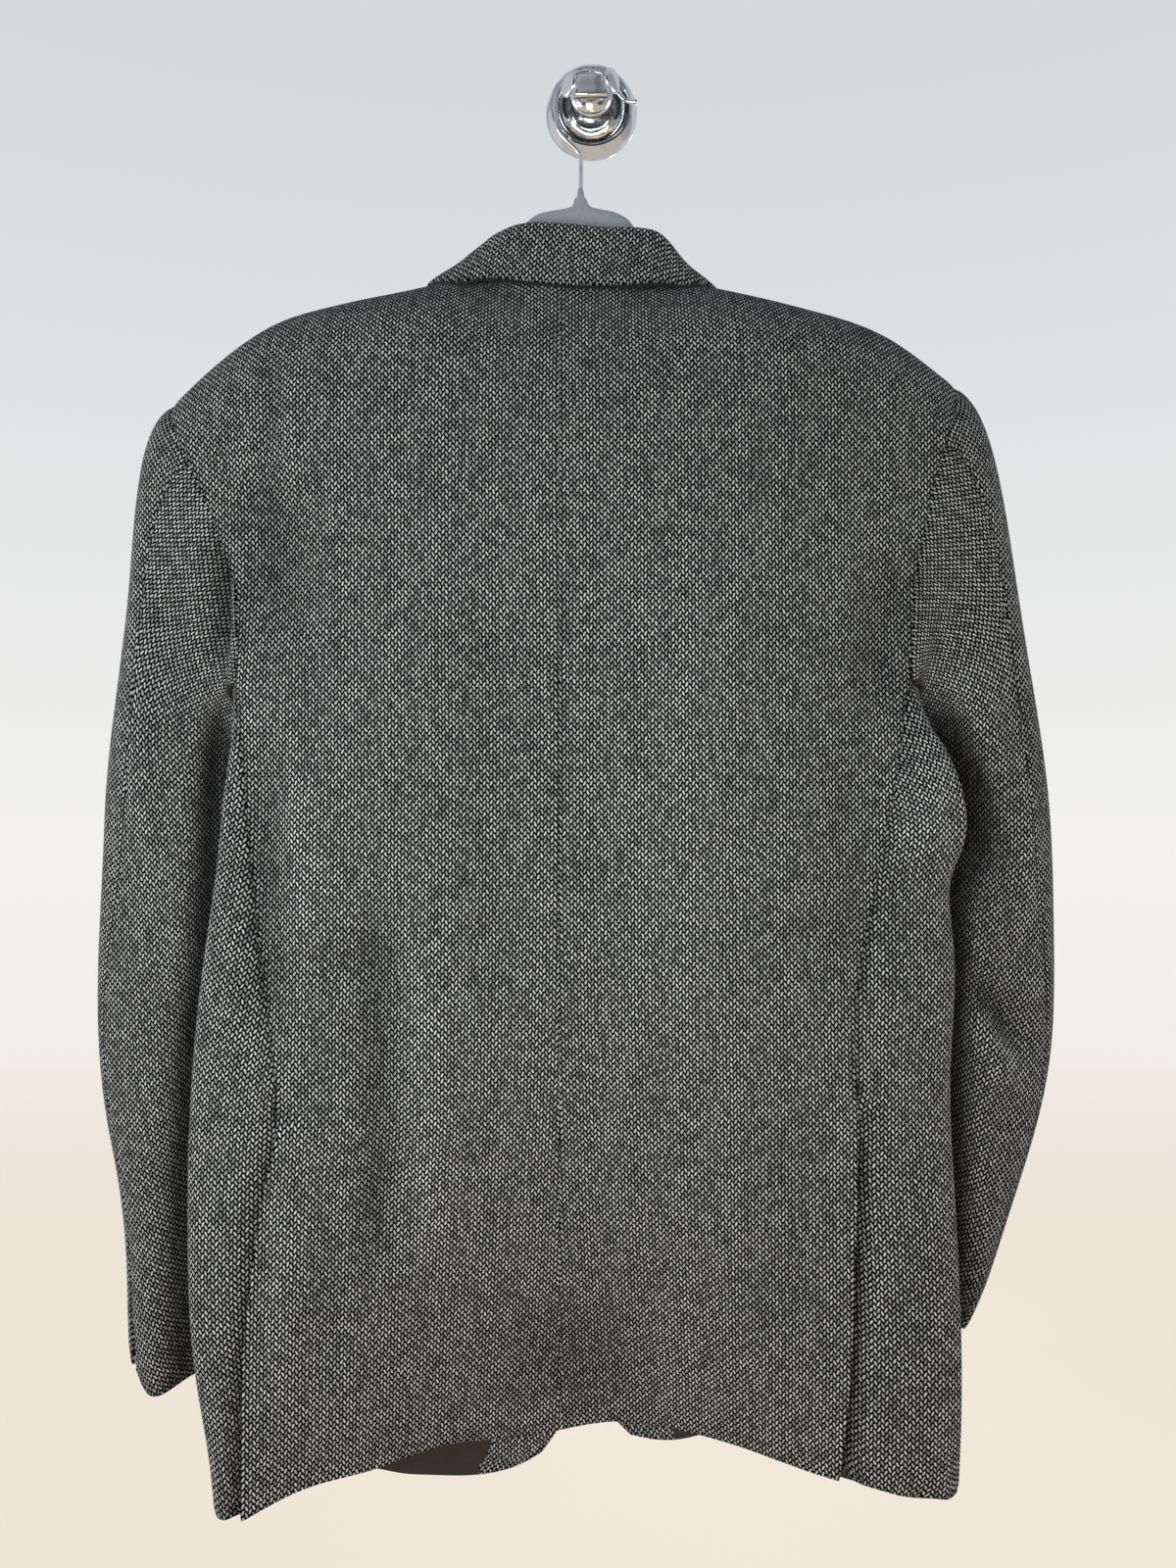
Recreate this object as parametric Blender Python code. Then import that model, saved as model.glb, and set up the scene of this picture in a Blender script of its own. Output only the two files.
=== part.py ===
"""A tweed blazer that hangs from a flocked hanger on a chromed robe hook.

The jacket's back faces the viewer (-Y) and its front faces the wall (the plane y = 0).
The origin is the middle of the rosette's flat back, +X is the wearer's right and +Z is up.
Every cloth point is worked out as (x, away, z), where away is its distance from the wall.
All sizes are in metres.
"""

from math import cos, pi, radians, sin, sqrt

import bmesh
import bpy
import numpy as np

# Cloth
WALL = 0.002  # tweed with its canvas
FELT = 0.001
LINING = 0.001
GAP = 0.0003  # between neighbours
SLEEVE_TWIST = radians(28)  # of the threads, from the armhole to the elbow
UNDERLAP = 0.028  # of a side body beneath the back, below its vent top

# Places that the whole jacket shares
CENTRE_BACK = -0.020
CENTRE_FRONT = -0.006
ARMPIT = -0.392
RIDGE_AWAY = 0.036  # the shoulder seams lie over the hanger
NECK_AWAY = 0.058  # the neckline at the centre back
BREAK = -0.500  # height of the top button, where the lapels turn
BUTTON_SPACING = 0.112
BUTTON_THREAD = 25  # of a sleeve: the line that the cuff buttons follow, on the wall side

# How the grids are divided
NECK_COLUMNS = 3
SHOULDER_COLUMNS = 7
ROUND_ROWS = 4
ARM_ROWS = 6
SHARES_TO_VENT = (0.075, 0.15, 0.23, 0.305, 0.38, 0.46, 0.55, 0.66, 0.77, 0.885, 1.0)
SHARES_TO_HEM = (0.14, 0.30, 0.46, 0.62, 0.78, 0.90, 1.0)
SIDE_COLUMNS = 8
ARMPIT_ROW = ROUND_ROWS + ARM_ROWS
VENT_ROW = ARMPIT_ROW + len(SHARES_TO_VENT)
HIND, FORE = 4, 18  # threads of a sleeve that its two seams follow
CUFF_LOWEST = 0.7  # where a cuff hangs lowest: 1 at its outer end, -1 at its inner end
ARM_RINGS = 5  # the row of a sleeve's first ring below the armhole
SHOULDER_DROP = 0.045  # how far below the ridge the back has reached its full depth
NECK_DROP = 0.120


def table(names, *rows):
    """A short table, as one array for each named column."""
    return dict(zip(names.split(), np.array(rows, float).T))


def hermite(keys, values, wanted):
    """Values at the wanted keys, on a smooth curve through rising keys."""
    slopes = np.gradient(values, keys, axis=0)
    wanted = np.clip(wanted, keys[0], keys[-1])
    at = np.clip(np.searchsorted(keys, wanted) - 1, 0, len(keys) - 2)
    width = keys[at + 1] - keys[at]
    t = (wanted - keys[at]) / width
    if np.ndim(values) > 1 and np.ndim(t) > 0:
        t, width = t[:, None], width[:, None]
    return (
        (1 + 2 * t) * (1 - t) ** 2 * values[at]
        + t * (1 - t) ** 2 * width * slopes[at]
        + t * t * (3 - 2 * t) * values[at + 1]
        + t * t * (t - 1) * width * slopes[at + 1]
    )


def look(rows, column, height):
    """A column of a table at a height. The table's heights fall from row to row."""
    return hermite(rows["height"][::-1], rows[column][::-1], height)


def along(points, shares):
    """Points at the given shares of the length of a smooth curve through the points."""
    points = np.array(points, float)
    steps = np.linalg.norm(np.diff(points, axis=0), axis=1)
    keys = np.concatenate([[0], np.cumsum(steps)])
    return hermite(keys, points, np.asarray(shares) * keys[-1])


def smoothstep(t):
    t = np.clip(t, 0, 1)
    return t * t * (3 - 2 * t)


# Each side's outlines. The back's and the front's edges run down the armhole, then down
# the seam of the side body (and the vent), to the hem.
LEFT = {
    "name": "left",
    "sign": -1,
    "shoulder": table(
        "x height",
        (-0.0860, -0.1278),
        (-0.1060, -0.1340),
        (-0.1320, -0.1400),
        (-0.1662, -0.1477),
        (-0.1946, -0.1545),
        (-0.2212, -0.1688),
        (-0.2408, -0.1840),
        (-0.2592, -0.1990),
        (-0.2703, -0.2105),
    ),
    "back_edge": table(
        "height x",
        (-0.2105, -0.2703),
        (-0.2274, -0.2667),
        (-0.2472, -0.2570),
        (-0.2739, -0.2435),
        (-0.2976, -0.2340),
        (-0.3212, -0.2250),
        (-0.3450, -0.2214),
        (-0.3920, -0.2195),
        (-0.4500, -0.2145),
        (-0.5070, -0.2095),
        (-0.5516, -0.2050),
        (-0.6228, -0.1950),
        (-0.6705, -0.1905),
        (-0.7000, -0.1980),
        (-0.7460, -0.2040),
        (-0.8010, -0.2094),
        (-0.8955, -0.2085),
    ),
    "vent_top": -0.6705,
    "back_hem": (
        (-0.0200, -0.8757),
        (-0.0430, -0.8790),
        (-0.0742, -0.8785),
        (-0.1028, -0.8790),
        (-0.1260, -0.8830),
        (-0.1560, -0.8845),
        (-0.1880, -0.8880),
        (-0.1948, -0.8915),
        (-0.2085, -0.8955),
    ),
    "side": table(
        "height edge back_lift front_lift front_reach",
        (-0.3920, -0.2215, -0.010, 0.010, 0.004),
        (-0.4207, -0.2222, -0.004, 0.014, 0.006),
        (-0.4593, -0.2268, 0.000, 0.014, 0.010),
        (-0.5070, -0.2310, 0.003, 0.012, 0.020),
        (-0.5938, -0.2424, 0.004, 0.012, 0.040),
        (-0.6705, -0.2478, 0.006, 0.012, 0.060),
        (-0.7224, -0.2472, 0.008, 0.013, 0.060),
        (-0.7990, -0.2425, 0.011, 0.016, 0.060),
        (-0.8570, -0.2325, 0.012, 0.020, 0.060),
        (-0.8930, -0.2260, 0.013, 0.022, 0.060),
    ),
    "side_hem_sag": 0.004,
    "front_edge": table(
        "height x",
        (-0.2105, -0.2703),
        (-0.2320, -0.2590),
        (-0.2600, -0.2440),
        (-0.2900, -0.2310),
        (-0.3200, -0.2225),
        (-0.3500, -0.2175),
        (-0.3920, -0.2150),
        (-0.4200, -0.2050),
        (-0.4500, -0.1950),
        (-0.5000, -0.1800),
        (-0.5500, -0.1730),
        (-0.6500, -0.1680),
        (-0.7500, -0.1650),
        (-0.9040, -0.1620),
    ),
    "opening_edge": table(
        "height x",
        (-0.1278, -0.0860),
        (-0.1450, -0.0800),
        (-0.1700, -0.0715),
        (-0.2800, -0.0430),
        (-0.3900, -0.0155),
        (-0.4700, 0.0050),
        (-0.5000, 0.0110),
        (-0.5300, 0.0120),
        (-0.6550, 0.0120),
        (-0.7000, 0.0105),
        (-0.7600, 0.0050),
        (-0.8050, -0.0035),
        (-0.8500, -0.0120),
        (-0.8915, -0.0228),
        (-0.9055, -0.0340),
    ),
    "front_hem": (
        (-0.0340, -0.9055),
        (-0.0499, -0.9145),
        (-0.0763, -0.9205),
        (-0.1050, -0.9205),
        (-0.1340, -0.9185),
        (-0.1500, -0.9120),
        (-0.1620, -0.9040),
    ),
    "sleeve": table(
        "height outer inner near far",
        (-0.4400, -0.3160, -0.2050, 0.009, 0.058),
        (-0.5000, -0.3205, -0.1920, 0.008, 0.052),
        (-0.5600, -0.3243, -0.1880, 0.008, 0.050),
        (-0.6200, -0.3250, -0.1870, 0.008, 0.050),
        (-0.6720, -0.3205, -0.1870, 0.008, 0.049),
        (-0.7139, -0.3127, -0.1850, 0.008, 0.048),
        (-0.7600, -0.3072, -0.1840, 0.008, 0.048),
        (-0.8510, -0.3035, -0.1830, 0.008, 0.048),
    ),
    "cuff_rise": (0.016, 0.009),  # of the outer end above the lowest point, and inward slope
}
RIGHT = {
    "name": "right",
    "sign": 1,
    "shoulder": table(
        "x height",
        (0.0620, -0.1305),
        (0.0805, -0.1350),
        (0.1020, -0.1403),
        (0.1286, -0.1472),
        (0.1564, -0.1540),
        (0.1779, -0.1610),
        (0.1925, -0.1680),
        (0.2140, -0.1830),
        (0.2345, -0.1990),
    ),
    "back_edge": table(
        "height x",
        (-0.1990, 0.2345),
        (-0.2100, 0.2330),
        (-0.2338, 0.2245),
        (-0.2540, 0.2177),
        (-0.2779, 0.2114),
        (-0.3016, 0.2057),
        (-0.3323, 0.2010),
        (-0.3814, 0.1982),
        (-0.3920, 0.1965),
        (-0.4400, 0.1890),
        (-0.4890, 0.1795),
        (-0.5290, 0.1717),
        (-0.5850, 0.1621),
        (-0.6172, 0.1597),
        (-0.6570, 0.1621),
        (-0.7150, 0.1610),
        (-0.7740, 0.1591),
        (-0.8160, 0.1580),
        (-0.8828, 0.1510),
    ),
    "vent_top": -0.6570,
    "back_hem": (
        (-0.0200, -0.8757),
        (0.0092, -0.8718),
        (0.0437, -0.8738),
        (0.0679, -0.8738),
        (0.1015, -0.8768),
        (0.1200, -0.8800),
        (0.1510, -0.8828),
    ),
    "side": table(
        "height edge back_lift front_lift front_reach",
        (-0.3920, 0.2000, -0.010, 0.010, 0.004),
        (-0.4086, 0.2047, -0.004, 0.014, 0.006),
        (-0.4328, 0.2167, 0.002, 0.016, 0.008),
        (-0.4551, 0.2264, 0.005, 0.016, 0.010),
        (-0.4653, 0.2312, 0.006, 0.016, 0.012),
        (-0.4950, 0.2310, 0.006, 0.014, 0.016),
        (-0.5154, 0.2215, 0.003, 0.012, 0.020),
        (-0.5233, 0.2185, 0.002, 0.012, 0.024),
        (-0.5377, 0.2215, 0.003, 0.012, 0.030),
        (-0.6548, 0.2209, 0.006, 0.012, 0.050),
        (-0.7344, 0.2245, 0.010, 0.012, 0.060),
        (-0.8026, 0.2263, 0.014, 0.014, 0.060),
        (-0.8850, 0.2235, 0.020, 0.018, 0.060),
    ),
    "side_hem_sag": 0.015,
    "front_edge": table(
        "height x",
        (-0.1990, 0.2345),
        (-0.2250, 0.2220),
        (-0.2500, 0.2100),
        (-0.2800, 0.1990),
        (-0.3100, 0.1920),
        (-0.3500, 0.1880),
        (-0.3920, 0.1860),
        (-0.4200, 0.1780),
        (-0.4500, 0.1700),
        (-0.5000, 0.1570),
        (-0.5500, 0.1500),
        (-0.6500, 0.1450),
        (-0.7200, 0.1350),
        (-0.8000, 0.1220),
        (-0.8870, 0.1200),
    ),
    "opening_edge": table(
        "height x",
        (-0.1305, 0.0620),
        (-0.1450, 0.0540),
        (-0.1700, 0.0430),
        (-0.2800, 0.0210),
        (-0.3900, -0.0010),
        (-0.4700, -0.0180),
        (-0.5000, -0.0230),
        (-0.5300, -0.0240),
        (-0.6550, -0.0240),
        (-0.7000, -0.0220),
        (-0.7600, -0.0140),
        (-0.8050, -0.0040),
        (-0.8500, 0.0060),
        (-0.8872, 0.0175),
        (-0.8920, 0.0260),
    ),
    "front_hem": (
        (0.0260, -0.8920),
        (0.0452, -0.8965),
        (0.0610, -0.8965),
        (0.0749, -0.8930),
        (0.1000, -0.8890),
        (0.1200, -0.8870),
    ),
    "sleeve": table(
        "height outer inner near far",
        (-0.4400, 0.2960, 0.1860, 0.009, 0.058),
        (-0.5000, 0.3025, 0.1740, 0.008, 0.052),
        (-0.5600, 0.3042, 0.1690, 0.008, 0.050),
        (-0.6300, 0.3032, 0.1660, 0.008, 0.050),
        (-0.6882, 0.2913, 0.1580, 0.008, 0.049),
        (-0.7396, 0.2752, 0.1490, 0.008, 0.048),
        (-0.7910, 0.2590, 0.1370, 0.008, 0.048),
        (-0.8270, 0.2475, 0.1280, 0.008, 0.048),
    ),
    "cuff_rise": (0.010, 0.004),
}

# Distance of the back from the wall: across it, from the left edge to the right one.
ACROSS = np.array([-1, -0.66, -0.33, 0, 0.33, 0.66, 1])
BACK = table(
    "height left left_two left_one centre right_one right_two right",
    (-0.140, 0.064, 0.074, 0.080, 0.084, 0.080, 0.074, 0.064),
    (-0.200, 0.066, 0.078, 0.084, 0.086, 0.084, 0.078, 0.068),
    (-0.250, 0.068, 0.083, 0.088, 0.088, 0.088, 0.083, 0.073),
    (-0.300, 0.074, 0.086, 0.090, 0.090, 0.090, 0.086, 0.077),
    (-0.350, 0.078, 0.088, 0.091, 0.091, 0.091, 0.088, 0.079),
    (-0.400, 0.080, 0.088, 0.091, 0.091, 0.091, 0.088, 0.080),
    (-0.500, 0.083, 0.089, 0.090, 0.090, 0.090, 0.089, 0.086),
    (-0.580, 0.087, 0.088, 0.086, 0.084, 0.086, 0.088, 0.088),
    (-0.660, 0.091, 0.085, 0.078, 0.074, 0.077, 0.084, 0.0885),
    (-0.740, 0.095, 0.082, 0.069, 0.062, 0.066, 0.079, 0.0885),
    (-0.810, 0.099, 0.079, 0.060, 0.051, 0.052, 0.071, 0.087),
    (-0.895, 0.105, 0.075, 0.050, 0.0395, 0.037, 0.059, 0.085),
)

# Distance of the fronts from the wall, and how much more where the sleeves push them out.
FRONT = table(
    "height middle pushed tuck",
    (-0.120, 0.0220, 0.000, 0.0000),
    (-0.300, 0.0220, 0.000, 0.0000),
    (-0.392, 0.0205, 0.000, 0.0054),
    (-0.420, 0.0190, 0.018, 0.0054),
    (-0.450, 0.0175, 0.032, 0.0058),
    (-0.500, 0.0160, 0.038, 0.0058),
    (-0.550, 0.0145, 0.041, 0.0034),
    (-0.750, 0.0130, 0.042, 0.0027),
    (-0.900, 0.0120, 0.042, 0.0027),
)
PUSH_WIDTH = 0.045

# Each lapel's outer edge below its tip, and its gorge: heights at the neck and at the tip.
LAPEL_EDGE = {
    "left": table(
        "height x",
        (-0.2070, -0.1550),
        (-0.2400, -0.1530),
        (-0.2800, -0.1440),
        (-0.3300, -0.1260),
        (-0.3800, -0.0980),
        (-0.4300, -0.0600),
        (-0.4700, -0.0220),
        (-0.4900, 0.0020),
    ),
    "right": table(
        "height x",
        (-0.2090, 0.1270),
        (-0.2400, 0.1260),
        (-0.2800, 0.1180),
        (-0.3300, 0.1010),
        (-0.3800, 0.0750),
        (-0.4300, 0.0380),
        (-0.4700, 0.0030),
        (-0.4900, -0.0140),
    ),
}
GORGE = -0.173
LAPEL_ROWS = 9
LAPEL_COLUMNS = 4

# What lies on the fronts or inside them: rows and columns of the fronts' own grids.
FLAP = {"left": ((21.6, 23.7), (2.8, 6.6)), "right": ((21.6, 23.7), (3.0, 6.6))}
WELT = ((8.35, 8.95), (3.75, 6.5))
FACING = {"left": ((24.6, 27.55), (0.15, 2.35)), "right": ((25, 27.55), (0.15, 2.97))}
LININGS = {"left": ((24.6, 27.55), (2.37, 6.9)), "right": ((25, 27.55), (3, 6.9))}

# The collar goes round the neck, from the left gorge to the right one. At each place: the
# foot of its stand, the top of its roll, and the edge of its leaf.
COLLAR = table(
    "foot_x foot_away foot_z roll_x roll_away roll_z leaf_x leaf_away leaf_z",
    (-0.0682, 0.0232, -0.1700, -0.0655, 0.0158, -0.1640, -0.1180, 0.0146, -0.1930),
    (-0.0757, 0.0245, -0.1500, -0.0690, 0.0175, -0.1420, -0.1180, 0.0150, -0.1720),
    (-0.0815, 0.0290, -0.1330, -0.0710, 0.0240, -0.1200, -0.1145, 0.0180, -0.1470),
    (-0.0835, 0.0350, -0.1265, -0.0680, 0.0370, -0.1105, -0.1070, 0.0400, -0.1270),
    (-0.0640, 0.0425, -0.1290, -0.0535, 0.0490, -0.1028, -0.0860, 0.0590, -0.1330),
    (-0.0425, 0.0515, -0.1290, -0.0400, 0.0555, -0.1005, -0.0566, 0.0675, -0.1388),
    (-0.0200, 0.0565, -0.1283, -0.0200, 0.0590, -0.1022, -0.0215, 0.0695, -0.1432),
    (0.0080, 0.0515, -0.1292, 0.0060, 0.0570, -0.1036, 0.0060, 0.0695, -0.1440),
    (0.0340, 0.0435, -0.1300, 0.0320, 0.0530, -0.1024, 0.0370, 0.0660, -0.1408),
    (0.0480, 0.0390, -0.1300, 0.0440, 0.0480, -0.1045, 0.0610, 0.0575, -0.1345),
    (0.0585, 0.0350, -0.1290, 0.0510, 0.0370, -0.1135, 0.0800, 0.0410, -0.1276),
    (0.0570, 0.0290, -0.1360, 0.0490, 0.0240, -0.1230, 0.0900, 0.0178, -0.1490),
    (0.0490, 0.0245, -0.1520, 0.0430, 0.0175, -0.1440, 0.0940, 0.0150, -0.1740),
    (0.0392, 0.0232, -0.1720, 0.0370, 0.0158, -0.1660, 0.0900, 0.0146, -0.1950),
)
ROLL_RADIUS = 0.0045
COLLAR_COLUMNS = 28
FELT_SHOWS = 0.0017  # below the leaf's edge

# The hanger's upper and lower outline, and the line that its wire hook follows.
HANGER_AWAY = 0.0365
HANGER = table(
    "x top bottom",
    (-0.2420, -0.1950, -0.2020),
    (-0.2300, -0.1865, -0.1990),
    (-0.2000, -0.1655, -0.1830),
    (-0.1600, -0.1540, -0.1725),
    (-0.1200, -0.1455, -0.1640),
    (-0.0920, -0.1390, -0.1560),
    (-0.0740, -0.1345, -0.1500),
    (-0.0590, -0.1130, -0.1430),
    (-0.0410, -0.0895, -0.1340),
    (-0.0280, -0.0848, -0.1270),
    (-0.0150, -0.0822, -0.1220),
    (-0.0122, -0.0795, -0.1215),
    (-0.0112, -0.0762, -0.1213),
    (-0.0094, -0.0750, -0.1212),
    (-0.0090, -0.0698, -0.1212),
    (-0.0054, -0.0698, -0.1212),
    (-0.0050, -0.0750, -0.1212),
    (-0.0032, -0.0762, -0.1213),
    (-0.0022, -0.0795, -0.1215),
    (0.0004, -0.0822, -0.1220),
    (0.0118, -0.0840, -0.1260),
    (0.0204, -0.0878, -0.1310),
    (0.0300, -0.0980, -0.1370),
    (0.0395, -0.1365, -0.1440),
    (0.0680, -0.1415, -0.1570),
    (0.0960, -0.1465, -0.1650),
    (0.1400, -0.1570, -0.1750),
    (0.1780, -0.1685, -0.1850),
    (0.2020, -0.1845, -0.1975),
    (0.2130, -0.1935, -0.2000),
)
WIRE_AWAY = 0.0325
WIRE_RADIUS = 0.0014
WIRE_FOOT = ((-0.0070, -0.0692), (-0.0069, -0.0570), (-0.0069, -0.0455), (-0.0077, -0.0432))
WIRE_BEND = ((-0.0094, -0.0412), (-0.0146, -0.0364), (-0.0200, -0.0308), (-0.0226, -0.0250))
WIRE_TIP = ((0.0150, -0.0004), (0.0202, -0.0066), (0.0222, -0.0088), (0.0250, -0.0094), (0.0285, -0.0094))
WIRE_LOOP = (-0.0008, -0.0126, 0.0231)  # x and height of the middle, radius


def back_away(side, x, z):
    """Distance of the back's outside from the wall, below the shoulder."""
    edge = look(side["back_edge"], "x", z)
    t = side["sign"] * (x - CENTRE_BACK) / (edge - CENTRE_BACK)
    columns = [name for name in BACK if name != "height"]
    return hermite(ACROSS, np.array([look(BACK, name, z) for name in columns]), t)


def front_away(side, x, z):
    """Distance of a front's outside from the wall, below the shoulder."""
    room = abs(look(side["sleeve"], "inner", min(z, -0.44)) - CENTRE_FRONT)
    reach = side["sign"] * (x - CENTRE_FRONT)
    push = smoothstep((reach - room + PUSH_WIDTH) / PUSH_WIDTH)
    away = look(FRONT, "middle", z) + push * look(FRONT, "pushed", z)
    if side is RIGHT:  # it lies under the left front
        away += look(FRONT, "tuck", z) * (1 - smoothstep((reach - 0.035) / 0.03))
    return away


def row_heights(side, edge, top, hem):
    """Heights of a panel's rows at one of its upright edges."""
    drops = [SHOULDER_DROP * (1 - cos(k * pi / 2 / ROUND_ROWS)) for k in range(ROUND_ROWS + 1)]
    heights = [top - drop for drop in drops]
    start = heights[-1]
    heights += [start + (ARMPIT - start) * k / ARM_ROWS for k in range(1, ARM_ROWS + 1)]
    vent = ARMPIT + (hem - ARMPIT) * (side["vent_top"] - ARMPIT) / (edge[-1] - ARMPIT)
    heights += [ARMPIT + (vent - ARMPIT) * share for share in SHARES_TO_VENT]
    heights += [vent + (hem - vent) * share for share in SHARES_TO_HEM]
    return np.array(heights)


def between(inner, outer, top, hem):
    """Grid of (x, z) points between four edges that share their corners."""
    count = len(inner)
    down = np.arange(count)
    held = 1 - smoothstep((down - ROUND_ROWS) / ARM_ROWS)
    reach = np.clip((down - ARMPIT_ROW) / (count - 1 - ARMPIT_ROW), 0, 1) ** 3
    across = np.linspace(0, 1, len(top))[:, None]
    grid = inner[:, None] * (1 - across) + outer[:, None] * across
    grid += held[:, None, None] * (top - (top[0] * (1 - across) + top[-1] * across))
    grid += reach[:, None, None] * (hem - (hem[0] * (1 - across) + hem[-1] * across))
    return grid


def shoulder_points(side):
    curve = np.column_stack([side["shoulder"]["x"], side["shoulder"]["height"]])
    return along(curve, np.linspace(0, 1, SHOULDER_COLUMNS + 1))


def back_panel(side):
    """Half of the back: centre seam, neckline and shoulder, armhole and side, hem."""
    shoulder = shoulder_points(side)
    neck_centre = np.array([CENTRE_BACK, -0.1295])
    bow = np.array([0, -0.003])
    neck = [
        neck_centre * (1 - t) + shoulder[0] * t + bow * 4 * t * (1 - t)
        for t in np.linspace(0, 1, NECK_COLUMNS + 1)[:-1]
    ]
    top = np.vstack([neck, shoulder])
    hem = along(side["back_hem"], np.linspace(0, 1, len(top)))
    edge = side["back_edge"]["height"]
    outer_heights = row_heights(side, edge, shoulder[-1][1], edge[-1])
    inner_heights = row_heights(side, edge, neck_centre[1], hem[0][1])
    outer = np.column_stack([look(side["back_edge"], "x", outer_heights), outer_heights])
    inner = np.column_stack([np.full(len(outer), CENTRE_BACK), inner_heights])
    flat = between(inner, outer, top, hem)
    grid = np.empty(flat.shape[:2] + (3,))
    for column in range(len(top)):
        on_neck = min(column / NECK_COLUMNS, 1)  # 0 at the centre back, 1 on the shoulder
        out_from_collar = min(column / (NECK_COLUMNS + 1.5), 1)
        away = NECK_AWAY + (RIDGE_AWAY - NECK_AWAY) * smoothstep(on_neck)
        drop = NECK_DROP + (SHOULDER_DROP - NECK_DROP) * out_from_collar
        power = 1 - 0.5 * out_from_collar
        for row, (x, z) in enumerate(flat[:, column]):
            fall = min((top[column][1] - z) / drop, 1)
            turned = (1 - (1 - fall) ** 2) ** power
            grid[row, column] = (x, away + (back_away(side, x, z) - away) * turned, z)
    return grid


def front_panel(side):
    """A front: opening edge, shoulder, armhole and side seam, hem."""
    top = shoulder_points(side)
    hem = along(side["front_hem"], np.linspace(0, 1, len(top)))
    edge = side["back_edge"]["height"]
    outer_heights = row_heights(side, edge, top[-1][1], side["front_edge"]["height"][-1])
    inner_heights = row_heights(side, edge, top[0][1], hem[0][1])
    outer = np.column_stack([look(side["front_edge"], "x", outer_heights), outer_heights])
    inner = np.column_stack([look(side["opening_edge"], "x", inner_heights), inner_heights])
    flat = between(inner, outer, top, hem)
    grid = np.empty(flat.shape[:2] + (3,))
    for column in range(len(top)):
        for row, (x, z) in enumerate(flat[:, column]):
            fall = min((top[column][1] - z) / SHOULDER_DROP, 1)
            turned = sqrt(1 - (1 - fall) ** 2)
            grid[row, column] = (x, RIDGE_AWAY + (front_away(side, x, z) - RIDGE_AWAY) * turned, z)
    return grid


def normals(grid):
    """Unit normals of a grid, at its points."""
    down = np.gradient(grid, axis=0)
    across = np.gradient(grid, axis=1)
    found = np.cross(down, across)
    return found / np.linalg.norm(found, axis=2)[..., None]


def outward(grid, hint):
    """Unit normals that point the way hint does in the middle of the grid."""
    found = normals(grid)
    middle = found[found.shape[0] // 2, found.shape[1] // 2]
    return found if np.dot(middle, hint) > 0 else -found


def bezier(start, one, two, end, t):
    return (1 - t) ** 3 * start + 3 * t * (1 - t) ** 2 * one + 3 * t * t * (1 - t) * two + t**3 * end


def handle_for_edge(start, two, end, edge):
    """The first handle's x for which a Bezier curve just reaches the edge."""
    t = np.linspace(0.1, 0.9, 81)
    rest = (1 - t) ** 3 * start + 3 * t * t * (1 - t) * two + t**3 * end
    handles = (edge - rest) / (3 * t * (1 - t) ** 2)
    return handles[np.argmin(np.abs(handles - edge))]


def side_panel(side, back, out_back, front):
    """The side body: round the torso's edge from the back's seam to the front's."""
    inside = back - out_back * (WALL + 2 * GAP)
    rows = range(ARMPIT_ROW, len(back))
    grid = []
    for row in rows:
        start, end = back[row, -1], front[row, -1]
        middle = (start[2] + end[2]) / 2
        edge, back_lift, front_lift, front_reach = (
            look(side["side"], name, middle)
            for name in ("edge", "back_lift", "front_lift", "front_reach")
        )
        front_x = end[0] + side["sign"] * front_reach
        back_x = handle_for_edge(start[0], front_x, end[0], edge)
        handles = (
            np.array([back_x, start[1] + back_lift, start[2]]),
            np.array([front_x, end[1] + front_lift, end[2]]),
        )
        under = row > VENT_ROW
        shares = np.linspace(0, 1, SIDE_COLUMNS + (0 if under else 1))
        points = [bezier(start, *handles, end, t) for t in shares]
        sag = side["side_hem_sag"] * np.clip((row - VENT_ROW) / (len(back) - 1 - VENT_ROW), 0, 1) ** 3
        for point, t in zip(points, shares):
            point[2] -= sag * sin(pi * t**0.7)
        if row >= VENT_ROW:  # the back laps over the side body here
            sunk = inside[row, -1] - start
            for column, weight in enumerate((1, 0.6, 0.2)):
                points[column] = points[column] + sunk * weight
        if under:
            steps = np.linalg.norm(np.diff(inside[row, ::-1], axis=0), axis=1)
            reach = np.concatenate([[0], np.cumsum(steps)])
            covered = [np.interp(UNDERLAP, reach, inside[row, ::-1, k]) for k in range(3)]
            points.insert(0, np.array(covered))
        grid.append(points)
    return np.array(grid)


def trimmed(grid, top=0.0, bottom=0.0, first=0.0, last=0.0):
    """The grid with its edge rows and columns drawn in by the given amounts."""
    grid = grid.copy()
    for edge, inner, amount in (
        (np.s_[0], np.s_[1], top),
        (np.s_[-1], np.s_[-2], bottom),
        (np.s_[:, 0], np.s_[:, 1], first),
        (np.s_[:, -1], np.s_[:, -2], last),
    ):
        if amount:
            step = grid[inner] - grid[edge]
            grid[edge] += step * (amount / np.linalg.norm(step, axis=1))[:, None]
    return grid


def material(name, colour, roughness, metallic=0.0):
    found = bpy.data.materials.get(name)
    if found:
        return found
    made = bpy.data.materials.new(name)
    made.use_nodes = True
    shader = made.node_tree.nodes["Principled BSDF"]
    shader.inputs["Base Color"].default_value = (*colour, 1)
    shader.inputs["Roughness"].default_value = roughness
    shader.inputs["Metallic"].default_value = metallic
    return made


def tweed():
    return material("tweed", (0.11, 0.11, 0.11), 0.9)


def twill_lining():
    return material("twill lining", (0.026, 0.019, 0.011), 0.5)


def undercollar_felt():
    return material("undercollar felt", (0.02, 0.02, 0.022), 0.95)


def horn():
    return material("horn", (0.03, 0.022, 0.016), 0.3)


def flock():
    return material("flocked plastic", (0.22, 0.24, 0.26), 0.9)


def chrome():
    return material("chrome", (0.8, 0.8, 0.82), 0.08, 1.0)


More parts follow.
